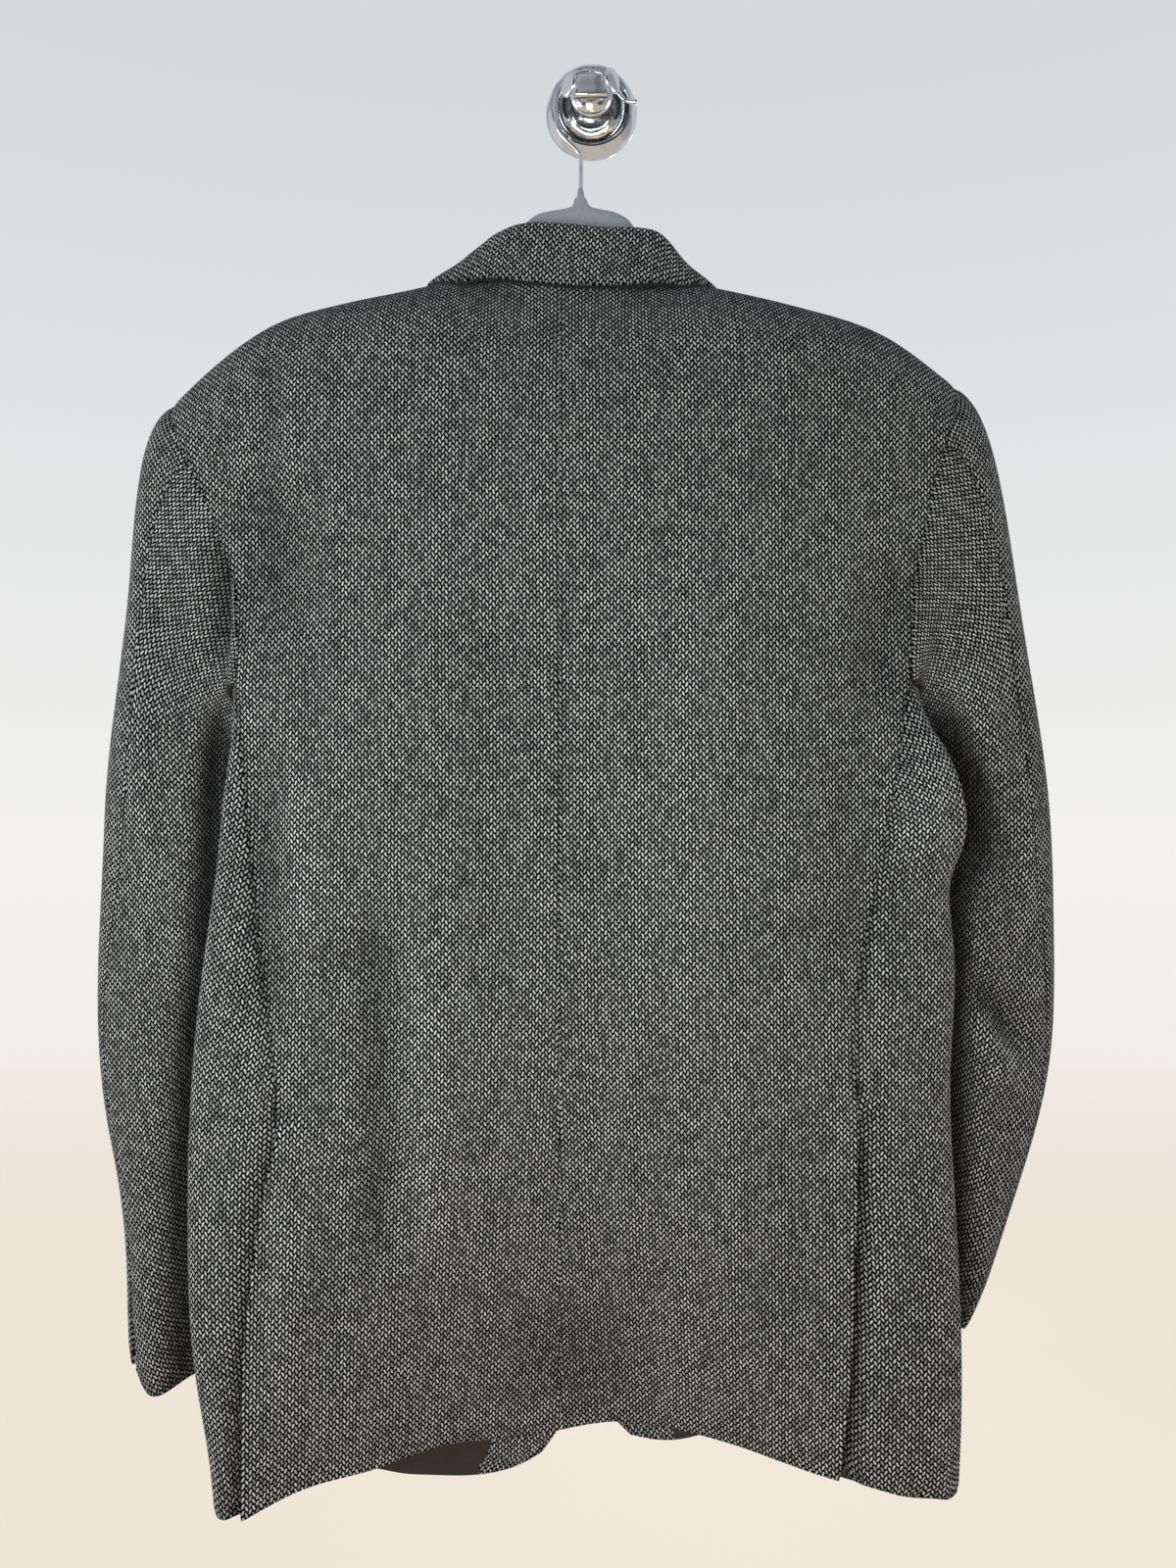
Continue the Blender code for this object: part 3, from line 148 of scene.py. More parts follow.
# Creases, in millimetres: the way that the cloth faces where they cross it, their half width and
# depth (a trough is above 0, a ridge below), and the points (x, z) that they follow.
CREASES = {
    "torso": (
        # from the shoulders down past the blades
        ("room", 7, 2.7, (-196, -180), (-198, -215), (-201, -270)),
        ("room", 10, -2.2, (-182, -190), (-184, -230), (-186, -280)),
        ("room", 24, 5.4, (-208, -240), (-196, -310), (-190, -390)),
        ("room", 13, 4.7, (-200, -420), (-199, -520), (-196, -630)),
        ("room", 13, -3.2, (-180, -430), (-178, -520), (-176, -600)),
        ("room", 22, 5.0, (196, -300), (182, -360), (172, -430)),
        ("room", 22, -4.3, (206, -420), (214, -470), (212, -520)),
        # long drapes down the back
        ("room", 12, 5.6, (-132, -510), (-130, -600), (-128, -680), (-136, -780)),
        ("room", 15, -3.6, (-104, -520), (-100, -620), (-102, -760)),
        ("room", 26, 1.6, (-60, -330), (-66, -480), (-60, -600)),
        ("room", 30, -2.0, (52, -300), (60, -470), (52, -650)),
        ("room", 14, 2.6, (154, -420), (160, -500), (164, -600)),
        ("room", 20, 2.2, (114, -640), (120, -720), (118, -820)),
        ("room", 32, 4.4, (-70, -806), (-10, -828), (50, -816)),
        # at the waist
        ("room", 14, 2.9, (-196, -560), (-160, -566), (-120, -560)),
        ("room", 12, 2.5, (172, -540), (140, -548), (104, -542)),
    ),
    "left vent": (
        # the pucker at the head of the vent, and the edge's bulge below it
        ("room", 6, 3.4, (-198, -664), (-187, -657), (-174, -662)),
        ("room", 8, -3.2, (-194, -678), (-182, -670), (-168, -676)),
        ("room", 9, -3.2, (-180, -680), (-186, -740), (-190, -840)),
        ("room", 9, 2.4, (-158, -700), (-160, -760), (-160, -840)),
    ),
    "left sleeve": (
        # the sleeve sinks in behind the body's edge
        ("room", 7, 12.0, (-229, -275), (-233.5, -330), (-235, -400)),
        ("room", 9, 24.0, (-234.5, -395), (-244, -499), (-250, -580), (-257, -643)),
        ("room", 11, 24.0, (-250, -580), (-257, -643), (-264, -724), (-265, -960)),
        ("room", 16, 2.0, (-262, -300), (-270, -380), (-268, -450)),
        ("room", 14, -1.6, (-286, -330), (-292, -420), (-288, -520)),
        ("room", 13, 2.0, (-302, -585), (-278, -600), (-256, -594)),
        ("room", 12, -1.6, (-306, -560), (-280, -572), (-256, -566)),
        ("room", 15, 1.8, (-300, -700), (-272, -712), (-246, -706)),
        ("wall", 15, 2.2, (-290, -520), (-262, -548), (-232, -560)),
        ("wall", 14, 2.0, (-292, -590), (-260, -612), (-234, -618)),
        ("wall", 16, -2.0, (-292, -552), (-262, -580), (-234, -590)),
    ),
    "right sleeve": (
        # the sleeve sinks in behind the body's edge, from the drag at the armhole's foot down
        (
            "room", 12, 24.0, (215, -403.5), (240, -459.4), (244, -503), (234, -530), (230, -583),
            (232, -677), (235, -771), (234, -960),
        ),
        ("room", 12, -4.0, (231, -372), (248, -412), (262, -457)),
        ("room", 9, 10.0, (214, -390), (228, -412), (248, -456), (256, -530)),
        # the soft folds above the elbow, and the crease across it
        ("room", 8, 4.5, (261, -462), (268, -510), (266, -548)),
        ("room", 8, -3.0, (276, -440), (281, -500), (279, -560)),
        ("room", 9, 9.0, (232, -568), (256, -592), (288, -640)),
        ("room", 11, -5.0, (240, -604), (258, -628), (274, -664)),
        ("room", 14, 1.8, (246, -650), (262, -664), (280, -668)),
        ("wall", 15, 2.2, (290, -500), (262, -528), (232, -540)),
        ("wall", 14, 2.0, (292, -570), (260, -592), (234, -600)),
        ("wall", 16, -2.0, (292, -536), (262, -560), (234, -570)),
    ),
    "fronts": (
        ("wall", 24, 2.2, (-150, -210), (-120, -300), (-100, -400)),
        ("wall", 22, -1.8, (-110, -230), (-90, -320), (-70, -420)),
        ("wall", 24, 2.0, (140, -230), (110, -310), (92, -410)),
        ("wall", 22, -1.6, (104, -240), (80, -330), (62, -430)),
        ("wall", 30, 1.8, (-130, -540), (-120, -700), (-130, -880)),
        ("wall", 30, 1.6, (120, -540), (112, -700), (124, -860)),
    ),
}


# ---------------------------------------------------------------- settings


class TweedSettings(bpy.types.PropertyGroup):
    """The barleycorn weave, in its real sizes."""

    column: bpy.props.FloatProperty(
        name="Column", description="From one column of light stitches to the next",
        default=0.00206, unit="LENGTH",
    )
    repeat: bpy.props.FloatProperty(
        name="Repeat", description="From one light stitch to the next down a column",
        default=0.0038, unit="LENGTH",
    )
    tilt: bpy.props.FloatProperty(
        name="Tilt", description="Lean of the stitches, left and right by turns",
        default=radians(24), subtype="ANGLE",
    )
    wall: bpy.props.FloatProperty(
        name="Cloth", description="Tweed with its canvas", default=0.0018, unit="LENGTH"
    )
    dark: bpy.props.FloatVectorProperty(
        name="Ground yarn", description="Charcoal yarn",
        default=(0.0032, 0.0038, 0.0048), size=3, subtype="COLOR",
    )
    light: bpy.props.FloatVectorProperty(
        name="Figure yarn", description="Natural off-white yarn",
        default=(0.93, 0.94, 0.91), size=3, subtype="COLOR",
    )


class FittingSettings(bpy.types.PropertyGroup):
    """Buttons, hanger and hook."""

    front_button: bpy.props.FloatProperty(
        name="Front button", description="Its diameter", default=0.020, unit="LENGTH"
    )
    cuff_button: bpy.props.FloatProperty(
        name="Cuff button", description="Its diameter", default=0.015, unit="LENGTH"
    )
    wire: bpy.props.FloatProperty(
        name="Hook wire", description="Its diameter", default=0.0028, unit="LENGTH"
    )


class StageSettings(bpy.types.PropertyGroup):
    """The camera, light and floor."""

    eye: bpy.props.FloatVectorProperty(
        name="Camera", description="Where the camera stands",
        default=(-0.00235, -0.804, -0.4569), size=3, subtype="TRANSLATION",
    )
    lens: bpy.props.FloatProperty(name="Lens", description="Focal length in millimetres", default=27.0)
    floor: bpy.props.FloatProperty(
        name="Floor", description="Its height below the hook", default=-1.62, unit="LENGTH"
    )


# ---------------------------------------------------------------- small helpers


def srgb(code):
    """A colour written as sRGB hex, as the linear values that Blender mixes."""
    parts = [int(code[k : k + 2], 16) / 255 for k in (0, 2, 4)]
    return tuple(p / 12.92 if p <= 0.04045 else ((p + 0.055) / 1.055) ** 2.4 for p in parts) + (1.0,)


def node(tree, kind, links=None, out=0, **settings):
    """Adds a shader node with its settings, and its sockets' values or links, and gives one of its
    outputs, or the node itself where out is None."""
    made = tree.nodes.new("ShaderNode" + kind)
    for name, value in settings.items():
        setattr(made, name, value)
    for socket, value in (links or {}).items():
        if isinstance(value, bpy.types.NodeSocket):
            tree.links.new(value, made.inputs[socket])
        else:
            made.inputs[socket].default_value = value
    return made if out is None else made.outputs[out]


def new_material(name, values):
    """A material, with uniform values for its shader's sockets."""
    made = bpy.data.materials.new(name)
    made.use_nodes = True
    shader = made.node_tree.nodes["Principled BSDF"]
    for socket, value in values.items():
        shader.inputs[socket].default_value = value
    return made, made.node_tree, shader


def plain_selection():
    """Leaves edit mode, with nothing selected."""
    if bpy.context.mode != "OBJECT":
        bpy.ops.object.mode_set(mode="OBJECT")
    bpy.ops.object.select_all(action="DESELECT")


def only(obj):
    """Selects one object alone and makes it active."""
    plain_selection()
    obj.select_set(True)
    bpy.context.view_layer.objects.active = obj


def joined(objects):
    """Joins objects into the first."""
    plain_selection()
    for obj in objects:
        obj.select_set(True)
    bpy.context.view_layer.objects.active = objects[0]
    bpy.ops.object.join()


def applied(obj, kind, **settings):
    """Adds a modifier and applies it."""
    only(obj)
    made = obj.modifiers.new(kind.title(), kind)
    for name, value in settings.items():
        setattr(made, name, value)
    bpy.ops.object.modifier_apply(modifier=made.name)


def corners(mesh):
    """The vertices as an array."""
    found = np.empty(len(mesh.vertices) * 3)
    mesh.vertices.foreach_get("co", found)
    return found.reshape(-1, 3)


def put(mesh, points):
    """Moves the vertices to these points."""
    mesh.vertices.foreach_set("co", np.asarray(points, float).ravel())
    mesh.update()


def facing(mesh):
    """The vertices' normals as an array."""
    found = np.empty(len(mesh.vertices) * 3)
    mesh.vertex_normals.foreach_get("vector", found)
    return found.reshape(-1, 3)


def step(value, low, high):
    """0 below low, 1 above high, and smooth between."""
    t = np.clip((np.asarray(value, float) - low) / (high - low), 0, 1)
    return t * t * (3 - 2 * t)


def bell(distance, reach):
    """1 at no distance, and falling off over the reach."""
    return np.exp(-((distance / reach) ** 2))


# ---------------------------------------------------------------- materials

# Real sizes of the patterns' grain, in millimetres
WAVER_EVERY = 3.846  # about one stitch: the yarn is thicker here and thinner there
FIBRE_EVERY = 0.6667  # coarser than wool's own fibres, so that it shows
SLUB_EVERY = 10.526
FADE_EVERY = 62.5  # the cloth is a little brighter here and darker there
WEAR_EVERY = 25
RIB_EVERY = 0.98175  # from one rib of the twill to the next
HAIR_EVERY = 0.7143
GRAIN_EVERY = 1.4286
TWIST_EVERY = 0.3846
PILE_EVERY = 0.4545
RUB_EVERY = 16.667  # where hands have rubbed the flock
WIPE_EVERY = 5.556
WAVE = pi / 10  # how far apart the bands of a wave texture lie, at scale 1

SEED_HALF_WIDTH, SEED_HALF_LENGTH = 0.00058, 0.00152  # of a light stitch
# How high the stitches, fibres, ribs, hairs and pile stand, in metres
SEED_HIGH, FIBRE_HIGH, RIB_HIGH, HAIR_HIGH, PILE_HIGH = 0.00022, 0.00012, 0.00008, 0.0002, 0.00018
WAVER = 0.0011  # how far an uneven yarn strays
PAINTED_SHADE_STRENGTH = 0.72  # how much the full painted shade darkens the cloth's colour


def barleycorn(name="Barleycorn tweed"):
    """Woollen tweed, woven in barleycorn: off-white stitches lean left and right by turns on a
    charcoal ground. Up close it is a dry, hairy checker of seeds, and from afar a lively grey."""
    tweed = bpy.context.scene.blazer_tweed
    made, tree, shader = new_material(
        name, {"Roughness": 0.92, "Specular IOR Level": 0.05, "Sheen Weight": 0.02, "Sheen Roughness": 0.55}
    )

    def in_cell(count, size):
        """The place within one stitch's cell, from its middle."""
        share = node(tree, "Math", {0: count}, operation="FRACT")
        share = node(tree, "Math", {0: share, 1: 0.5}, operation="SUBTRACT")
        return node(tree, "Math", {0: share, 1: size}, operation="MULTIPLY")

    def rounded(place, half_size, power):
        """How far out a place lies along a seed, on its way to the rounded end."""
        share = node(tree, "Math", {0: place, 1: half_size}, operation="DIVIDE")
        share = node(tree, "Math", {0: share}, operation="ABSOLUTE")
        return node(tree, "Math", {0: share, 1: power}, operation="POWER")

    cut = node(tree, "UVMap", uv_map="cut")
    # handspun yarn is uneven, so the columns waver a little
    waver = node(
        tree, "TexNoise", {"Vector": cut, "Scale": 1000 / WAVER_EVERY, "Detail": 2.0, "Roughness": 0.6},
        out="Color",
    )
    shift = node(tree, "VectorMath", {0: waver, 1: (0.5, 0.5, 0.5)}, operation="SUBTRACT")
    shift = node(tree, "VectorMath", {0: shift, "Scale": WAVER}, operation="SCALE")
    place = node(tree, "VectorMath", {0: cut, 1: shift}, operation="ADD")
    parts = node(tree, "SeparateXYZ", {"Vector": place}, out=None).outputs
    # columns of stitches, every second one half a stitch lower and leaning the other way
    across = node(tree, "Math", {0: parts["X"], 1: tweed.column}, operation="DIVIDE")
    column = node(tree, "Math", {0: across}, operation="FLOOR")
    odd = node(tree, "Math", {0: column, 1: 0.5}, operation="MULTIPLY")
    odd = node(tree, "Math", {0: odd}, operation="FRACT")
    odd = node(tree, "Math", {0: odd, 1: 2.0}, operation="MULTIPLY")
    down = node(tree, "Math", {0: parts["Y"], 1: tweed.repeat}, operation="DIVIDE")
    down = node(tree, "Math", {0: odd, 1: 0.5, 2: down}, operation="MULTIPLY_ADD")
    stitch = node(tree, "Math", {0: down}, operation="FLOOR")
    # each light stitch is a seed: a rounded lozenge, turned left or right
    x, y = in_cell(across, tweed.column), in_cell(down, tweed.repeat)
    lean = node(tree, "Math", {0: odd, 1: -2.0, 2: 1.0}, operation="MULTIPLY_ADD")
    long_x = node(tree, "Math", {0: x, 1: cos(tweed.tilt)}, operation="MULTIPLY")
    long_y = node(tree, "Math", {0: y, 1: cos(tweed.tilt)}, operation="MULTIPLY")
    short_x = node(tree, "Math", {0: y, 1: sin(tweed.tilt)}, operation="MULTIPLY")
    short_y = node(tree, "Math", {0: x, 1: -sin(tweed.tilt)}, operation="MULTIPLY")
    seed_x = node(tree, "Math", {0: short_x, 1: lean, 2: long_x}, operation="MULTIPLY_ADD")
    seed_y = node(tree, "Math", {0: short_y, 1: lean, 2: long_y}, operation="MULTIPLY_ADD")
    reach = node(
        tree, "Math",
        {0: rounded(seed_x, SEED_HALF_WIDTH, 2.2), 1: rounded(seed_y, SEED_HALF_LENGTH, 2.6)},
        operation="ADD",
    )
    seed = node(
        tree, "MapRange",
        {"Value": reach, "From Min": 0.55, "From Max": 1.25, "To Min": 1.0, "To Max": 0.0},
        interpolation_type="SMOOTHSTEP",
    )
    # each stitch has its own brightness, and slubs run through a few together
    cell = node(tree, "CombineXYZ", {"X": column, "Y": stitch})
    chance = node(tree, "TexWhiteNoise", {"Vector": cell}, out="Value", noise_dimensions="2D")
    drawn = node(tree, "Mapping", {"Vector": cut, "Scale": (1.0, 0.35, 1.0)})
    slub = node(
        tree, "TexNoise", {"Vector": drawn, "Scale": 1000 / SLUB_EVERY, "Detail": 3.0, "Roughness": 0.6}
    )
    fibre = node(
        tree, "TexNoise", {"Vector": cut, "Scale": 1000 / FIBRE_EVERY, "Detail": 3.0, "Roughness": 0.7}
    )
    fade = node(tree, "TexNoise", {"Vector": cut, "Scale": 1000 / FADE_EVERY})
    strength = node(tree, "MapRange", {"Value": chance, "To Min": 0.40, "To Max": 1.12})
    strength = node(tree, "Math", {0: strength, 1: seed}, operation="MULTIPLY")
    for value, low, high, least, most in (
        (slub, 0.3, 0.7, 0.92, 1.08),
        (fibre, 0.25, 0.75, 0.60, 1.25),
        (fade, 0.3, 0.7, 0.96, 1.04),
    ):
        share = node(
            tree, "MapRange",
            {"Value": value, "From Min": low, "From Max": high, "To Min": least, "To Max": most},
            interpolation_type="SMOOTHSTEP",
        )
        strength = node(tree, "Math", {0: strength, 1: share}, operation="MULTIPLY")
    hairy = node(
        tree, "MapRange", {"Value": fibre, "From Min": 0.45, "From Max": 0.8},
        interpolation_type="SMOOTHSTEP",
    )
    ground = node(
        tree, "Mix", {0: hairy, 6: (*tweed.dark, 1), 7: srgb("1e2024")}, out=2, data_type="RGBA"
    )
    cloth = node(
        tree, "Mix", {0: strength, 6: ground, 7: (*tweed.light, 1)}, out=2, data_type="RGBA"
    )
    # painted shade: the cloth's colour is darkened in the creases, along the seams and beside the vents'
    # edges, and lightened on the ridges, by the sheet's painted_shade attribute
    painted_shade = node(tree, "Attribute", out="Fac", attribute_name="painted_shade")
    painted_shade_factor = node(tree, "Math", {0: painted_shade, 1: -PAINTED_SHADE_STRENGTH, 2: 1.0}, operation="MULTIPLY_ADD")
    painted_shade_mix = node(tree, "CombineColor", {k: painted_shade_factor for k in (0, 1, 2)})
    painted_shade_mix = node(
        tree, "Mix", {0: 1.0, 6: cloth, 7: painted_shade_mix}, out=2, data_type="RGBA", blend_type="MULTIPLY"
    )
    tree.links.new(painted_shade_mix, shader.inputs["Base Color"])
    high = node(tree, "Math", {0: fibre, 1: FIBRE_HIGH}, operation="MULTIPLY")
    high = node(tree, "Math", {0: seed, 1: SEED_HIGH, 2: high}, operation="MULTIPLY_ADD")
    raised = node(tree, "Bump", {"Height": high, "Strength": 0.55, "Distance": 1.0})
    tree.links.new(raised, shader.inputs["Normal"])
    return made


def twill_lining(name="Twill lining"):
    """Viscose twill in dark brown-grey: fine diagonal ribs with a low, silky gloss."""
    made, tree, shader = new_material(name, {"IOR": 1.5})
    cut = node(tree, "UVMap", uv_map="cut")
    leaned = node(tree, "Mapping", {"Vector": cut, "Rotation": (0, 0, radians(45))})
    ribs = node(
        tree, "TexWave", {"Vector": leaned, "Scale": 1000 * WAVE / RIB_EVERY, "Distortion": 0.3},
        out="Fac", bands_direction="X",
    )
    worn = node(tree, "TexNoise", {"Vector": cut, "Scale": 1000 / WEAR_EVERY, "Detail": 3.0})
    share = node(
        tree, "MapRange", {"Value": worn, "From Min": 0.3, "From Max": 0.7},
        interpolation_type="SMOOTHSTEP",
    )
    colour = node(
        tree, "Mix", {0: share, 6: srgb("1a1610"), 7: srgb("29231a")}, out=2, data_type="RGBA"
    )
    tree.links.new(colour, shader.inputs["Base Color"])
    high = node(tree, "Math", {0: ribs, 1: RIB_HIGH}, operation="MULTIPLY")
    raised = node(tree, "Bump", {"Height": high, "Strength": 0.9, "Distance": 1.0})
    tree.links.new(raised, shader.inputs["Normal"])
    rough = node(
        tree, "MapRange", {"Value": ribs, "To Min": 0.52, "To Max": 0.66},
        interpolation_type="SMOOTHSTEP",
    )
    tree.links.new(rough, shader.inputs["Roughness"])
    return made


def undercollar_felt(name="Undercollar felt"):
    """Pressed wool felt, charcoal: dense and matt, with short hairs and no thread lines."""
    made, tree, shader = new_material(name, {"Roughness": 0.95, "Sheen Weight": 0.1})
    place = node(tree, "TexCoord", out="Object")
    hair = node(
        tree, "TexNoise",
        {"Vector": place, "Scale": 1000 / HAIR_EVERY, "Detail": 4.0, "Roughness": 0.7},
    )
    share = node(
        tree, "MapRange", {"Value": hair, "From Min": 0.3, "From Max": 0.75},
        interpolation_type="SMOOTHSTEP",
    )
    colour = node(
        tree, "Mix", {0: share, 6: srgb("15161a"), 7: srgb("2c2d31")}, out=2, data_type="RGBA"
    )
    tree.links.new(colour, shader.inputs["Base Color"])
    high = node(tree, "Math", {0: hair, 1: HAIR_HIGH}, operation="MULTIPLY")
    raised = node(tree, "Bump", {"Height": high, "Strength": 0.5, "Distance": 1.0})
    tree.links.new(raised, shader.inputs["Normal"])
    return made


def horn(name="Buffalo horn"):
    """Turned and polished horn: near black with brown grain lines under a soft gloss."""
    made, tree, shader = new_material(name, {"IOR": 1.54})
    place = node(tree, "TexCoord", out="Object")
    drawn = node(tree, "Mapping", {"Vector": place, "Scale": (1.0, 1.0, 0.18)})
    grain = node(tree, "TexNoise", {"Vector": drawn, "Scale": 1000 / GRAIN_EVERY, "Detail": 3.0})
    share = node(
        tree, "MapRange", {"Value": grain, "From Min": 0.45, "From Max": 0.75},
        interpolation_type="SMOOTHSTEP",
    )
    colour = node(
        tree, "Mix", {0: share, 6: srgb("17120f"), 7: srgb("4a3524")}, out=2, data_type="RGBA"
    )
    tree.links.new(colour, shader.inputs["Base Color"])
    rough = node(
        tree, "MapRange",
        {"Value": grain, "From Min": 0.3, "From Max": 0.7, "To Min": 0.26, "To Max": 0.36},
        interpolation_type="SMOOTHSTEP",
    )
    tree.links.new(rough, shader.inputs["Roughness"])
    return made


def sewing_thread(name="Sewing thread"):
    """Twisted polyester thread, charcoal: fine cords with a faint shine."""
    made, tree, shader = new_material(name, {"Roughness": 0.62})
    place = node(tree, "TexCoord", out="Object")
    twist = node(tree, "TexNoise", {"Vector": place, "Scale": 1000 / TWIST_EVERY, "Detail": 1.0})
    share = node(
        tree, "MapRange", {"Value": twist, "From Min": 0.35, "From Max": 0.65},
        interpolation_type="SMOOTHSTEP",
    )
    colour = node(
        tree, "Mix", {0: share, 6: srgb("191a1c"), 7: srgb("3b3c3e")}, out=2, data_type="RGBA"
    )
    tree.links.new(colour, shader.inputs["Base Color"])
    return made


def flock(name="Grey flocked plastic"):
    """ABS plastic under short nylon flock: velvety pale grey without gloss, rubbed darker in places."""
    made, tree, shader = new_material(
        name, {"Roughness": 0.96, "Sheen Weight": 0.35, "Sheen Roughness": 0.4}
    )
    place = node(tree, "TexCoord", out="Object")
    pile = node(
        tree, "TexNoise",
        {"Vector": place, "Scale": 1000 / PILE_EVERY, "Detail": 3.0, "Roughness": 0.7},
    )
    worn = node(tree, "TexNoise", {"Vector": place, "Scale": 1000 / RUB_EVERY, "Detail": 3.0})
    rubbed = node(
        tree, "MapRange", {"Value": worn, "From Min": 0.45, "From Max": 0.8, "To Max": 0.35},
        interpolation_type="SMOOTHSTEP",
    )
    share = node(
        tree, "MapRange", {"Value": pile, "From Min": 0.25, "From Max": 0.75},
        interpolation_type="SMOOTHSTEP",
    )
    colour = node(
        tree, "Mix", {0: share, 6: srgb("b0b4b8"), 7: srgb("dce1e4")}, out=2, data_type="RGBA"
    )
    colour = node(tree, "Mix", {0: rubbed, 6: colour, 7: srgb("989da1")}, out=2, data_type="RGBA")
    tree.links.new(colour, shader.inputs["Base Color"])
    high = node(tree, "Math", {0: pile, 1: PILE_HIGH}, operation="MULTIPLY")
    raised = node(tree, "Bump", {"Height": high, "Strength": 0.5, "Distance": 1.0})
    tree.links.new(raised, shader.inputs["Normal"])
    return made


def chrome(name="Chrome plate"):
    """Polished chromium plate: a cool mirror, with faint wiping marks and water spots."""
    made, tree, shader = new_material(name, {"Metallic": 1.0})
    place = node(tree, "TexCoord", out="Object")
    wiped = node(
        tree, "TexNoise",
        {"Vector": place, "Scale": 1000 / WIPE_EVERY, "Detail": 4.0, "Roughness": 0.6},
    )
    share = node(
        tree, "MapRange", {"Value": wiped, "From Min": 0.4, "From Max": 0.8},
        interpolation_type="SMOOTHSTEP",
    )
    colour = node(
        tree, "Mix", {0: share, 6: srgb("d6d9dc"), 7: srgb("c3c7cb")}, out=2, data_type="RGBA"
    )
    tree.links.new(colour, shader.inputs["Base Color"])
    rough = node(
        tree, "MapRange",
        {"Value": wiped, "From Min": 0.35, "From Max": 0.8, "To Min": 0.05, "To Max": 0.13},
        interpolation_type="SMOOTHSTEP",
    )
    tree.links.new(rough, shader.inputs["Roughness"])
    return made


def finish_of(maker):
    """The material that a maker function gives, made once."""
    known = bpy.data.materials.get(maker.__defaults__[0])
    return known or maker()


# ---------------------------------------------------------------- cloth


def copied(name, source):
    """A merged copy of a CAD node's mesh, as an object of its own."""
    obj = bpy.data.objects.new(name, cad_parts[source].data.copy())
    obj.data.materials.clear()
    bpy.context.scene.collection.objects.link(obj)
    only(obj)
    bpy.ops.object.mode_set(mode="EDIT")
    bpy.ops.mesh.select_all(action="SELECT")
    bpy.ops.mesh.remove_doubles(threshold=2e-6)
    bpy.ops.mesh.tris_convert_to_quads(face_threshold=radians(50), shape_threshold=radians(50))
    bpy.ops.object.mode_set(mode="OBJECT")
    return obj


def one_side(obj, way, solid):
    """Keeps the side of a cloth wall that faces the given way, or the larger one. The rim's faces
    are known by their edges, as long as the wall is thick."""
    mesh = bmesh.new()
    mesh.from_mesh(obj.data)
    mesh.faces.ensure_lookup_table()
    rim = {f.index for f in mesh.faces if any(abs(e.calc_length() - solid) < 4e-5 for e in f.edges)}
    seen, sides = set(rim), []
    for face in mesh.faces:
        if face.index in seen:
            continue
        side, edge_of = [], [face]
        seen.add(face.index)
        while edge_of:
            here = edge_of.pop()
            side.append(here)
            for edge in here.edges:
                for other in edge.link_faces:
                    if other.index not in seen:
                        seen.add(other.index)
                        edge_of.append(other)
        sides.append(side)

    def rank(side):
        area = sum(f.calc_area() for f in side)
        if way is None:
            return area
        return sum(f.calc_area() * f.normal.dot(Vector(way)) for f in side)

    kept = set(max(sides, key=rank))
    bmesh.ops.delete(mesh, geom=[f for f in mesh.faces if f not in kept], context="FACES")
    mesh.to_mesh(obj.data)
    mesh.free()


def unwrapped(obj, along="z", rounds=ROUNDS):
    """Lays the sheet flat as its pattern, in metres, with the grain up."""
    only(obj)
    while obj.data.uv_layers:
        obj.data.uv_layers.remove(obj.data.uv_layers[0])
    obj.data.uv_layers.new(name="cut")
    bpy.ops.object.mode_set(mode="EDIT")
    bpy.ops.mesh.select_all(action="SELECT")
    bpy.ops.uv.unwrap(method="MINIMUM_STRETCH", iterations=rounds, margin=0.0)
    bpy.ops.object.mode_set(mode="OBJECT")
    mesh = obj.data
    flat = np.empty(len(mesh.loops) * 2)
    mesh.uv_layers["cut"].data.foreach_get("uv", flat)
    flat = flat.reshape(-1, 2)
    point_of = np.array([loop.vertex_index for loop in mesh.loops])
    place = corners(mesh)[point_of]
    true_area = sum(p.area for p in mesh.polygons)
    flat_area = 0.0
    for p in mesh.polygons:
        around = flat[list(p.loop_indices)]
        x, y = around[:, 0], around[:, 1]
        flat_area += 0.5 * abs(np.dot(x, np.roll(y, -1)) - np.dot(y, np.roll(x, -1)))
    flat *= (true_area / flat_area) ** 0.5
    flat -= flat.mean(axis=0)
    target = place[:, 2] if along == "z" else place[:, 0]
    slope = np.linalg.lstsq(np.c_[flat, np.ones(len(flat))], target, rcond=None)[0][:2]
    slope /= np.linalg.norm(slope)
    up = slope if along == "z" else np.array((-slope[1], slope[0]))
    right = np.array((up[1], -up[0]))
    flat = np.c_[flat @ right, flat @ up]
    mesh.uv_layers["cut"].data.foreach_set("uv", flat.ravel())


def halved(obj, levels):
    """Subdivides the sheet so that it still passes through the points it was drawn with."""
    drawn = corners(obj.data)
    count = len(drawn)
    settings = {
        "levels": levels, "render_levels": levels,
        "boundary_smooth": "PRESERVE_CORNERS", "uv_smooth": "PRESERVE_BOUNDARIES",
    }
    trial = obj.copy()
    trial.data = obj.data.copy()
    bpy.context.scene.collection.objects.link(trial)
    applied(trial, "SUBSURF", **settings)
    put(obj.data, drawn + 0.9 * (drawn - corners(trial.data)[:count]))
    bpy.data.objects.remove(trial)
    applied(obj, "SUBSURF", **settings)


def crease_depth(points, path, width):
    """1 on a crease's line, falling off to its sides and towards its ends."""
    path = np.asarray(path) / 1000
    length = np.r_[0, np.cumsum(np.linalg.norm(np.diff(path, axis=0), axis=1))]
    nearest = np.full(len(points), 1e9)
    run = np.zeros(len(points))
    for one, two, start in zip(path, path[1:], length):
        line = two - one
        t = np.clip(((points - one) @ line) / (line @ line), 0, 1)
        gap = np.linalg.norm(points - one - t[:, None] * line, axis=1)
        closer = gap < nearest
        nearest = np.where(closer, gap, nearest)
        run = np.where(closer, (start + t * np.linalg.norm(line)) / length[-1], run)
    fade = min(0.38, 0.055 / length[-1])
    ends = step(run, -0.02, fade) * (1 - step(run, 1 - fade, 1.02))
    return bell(nearest, width) * ends


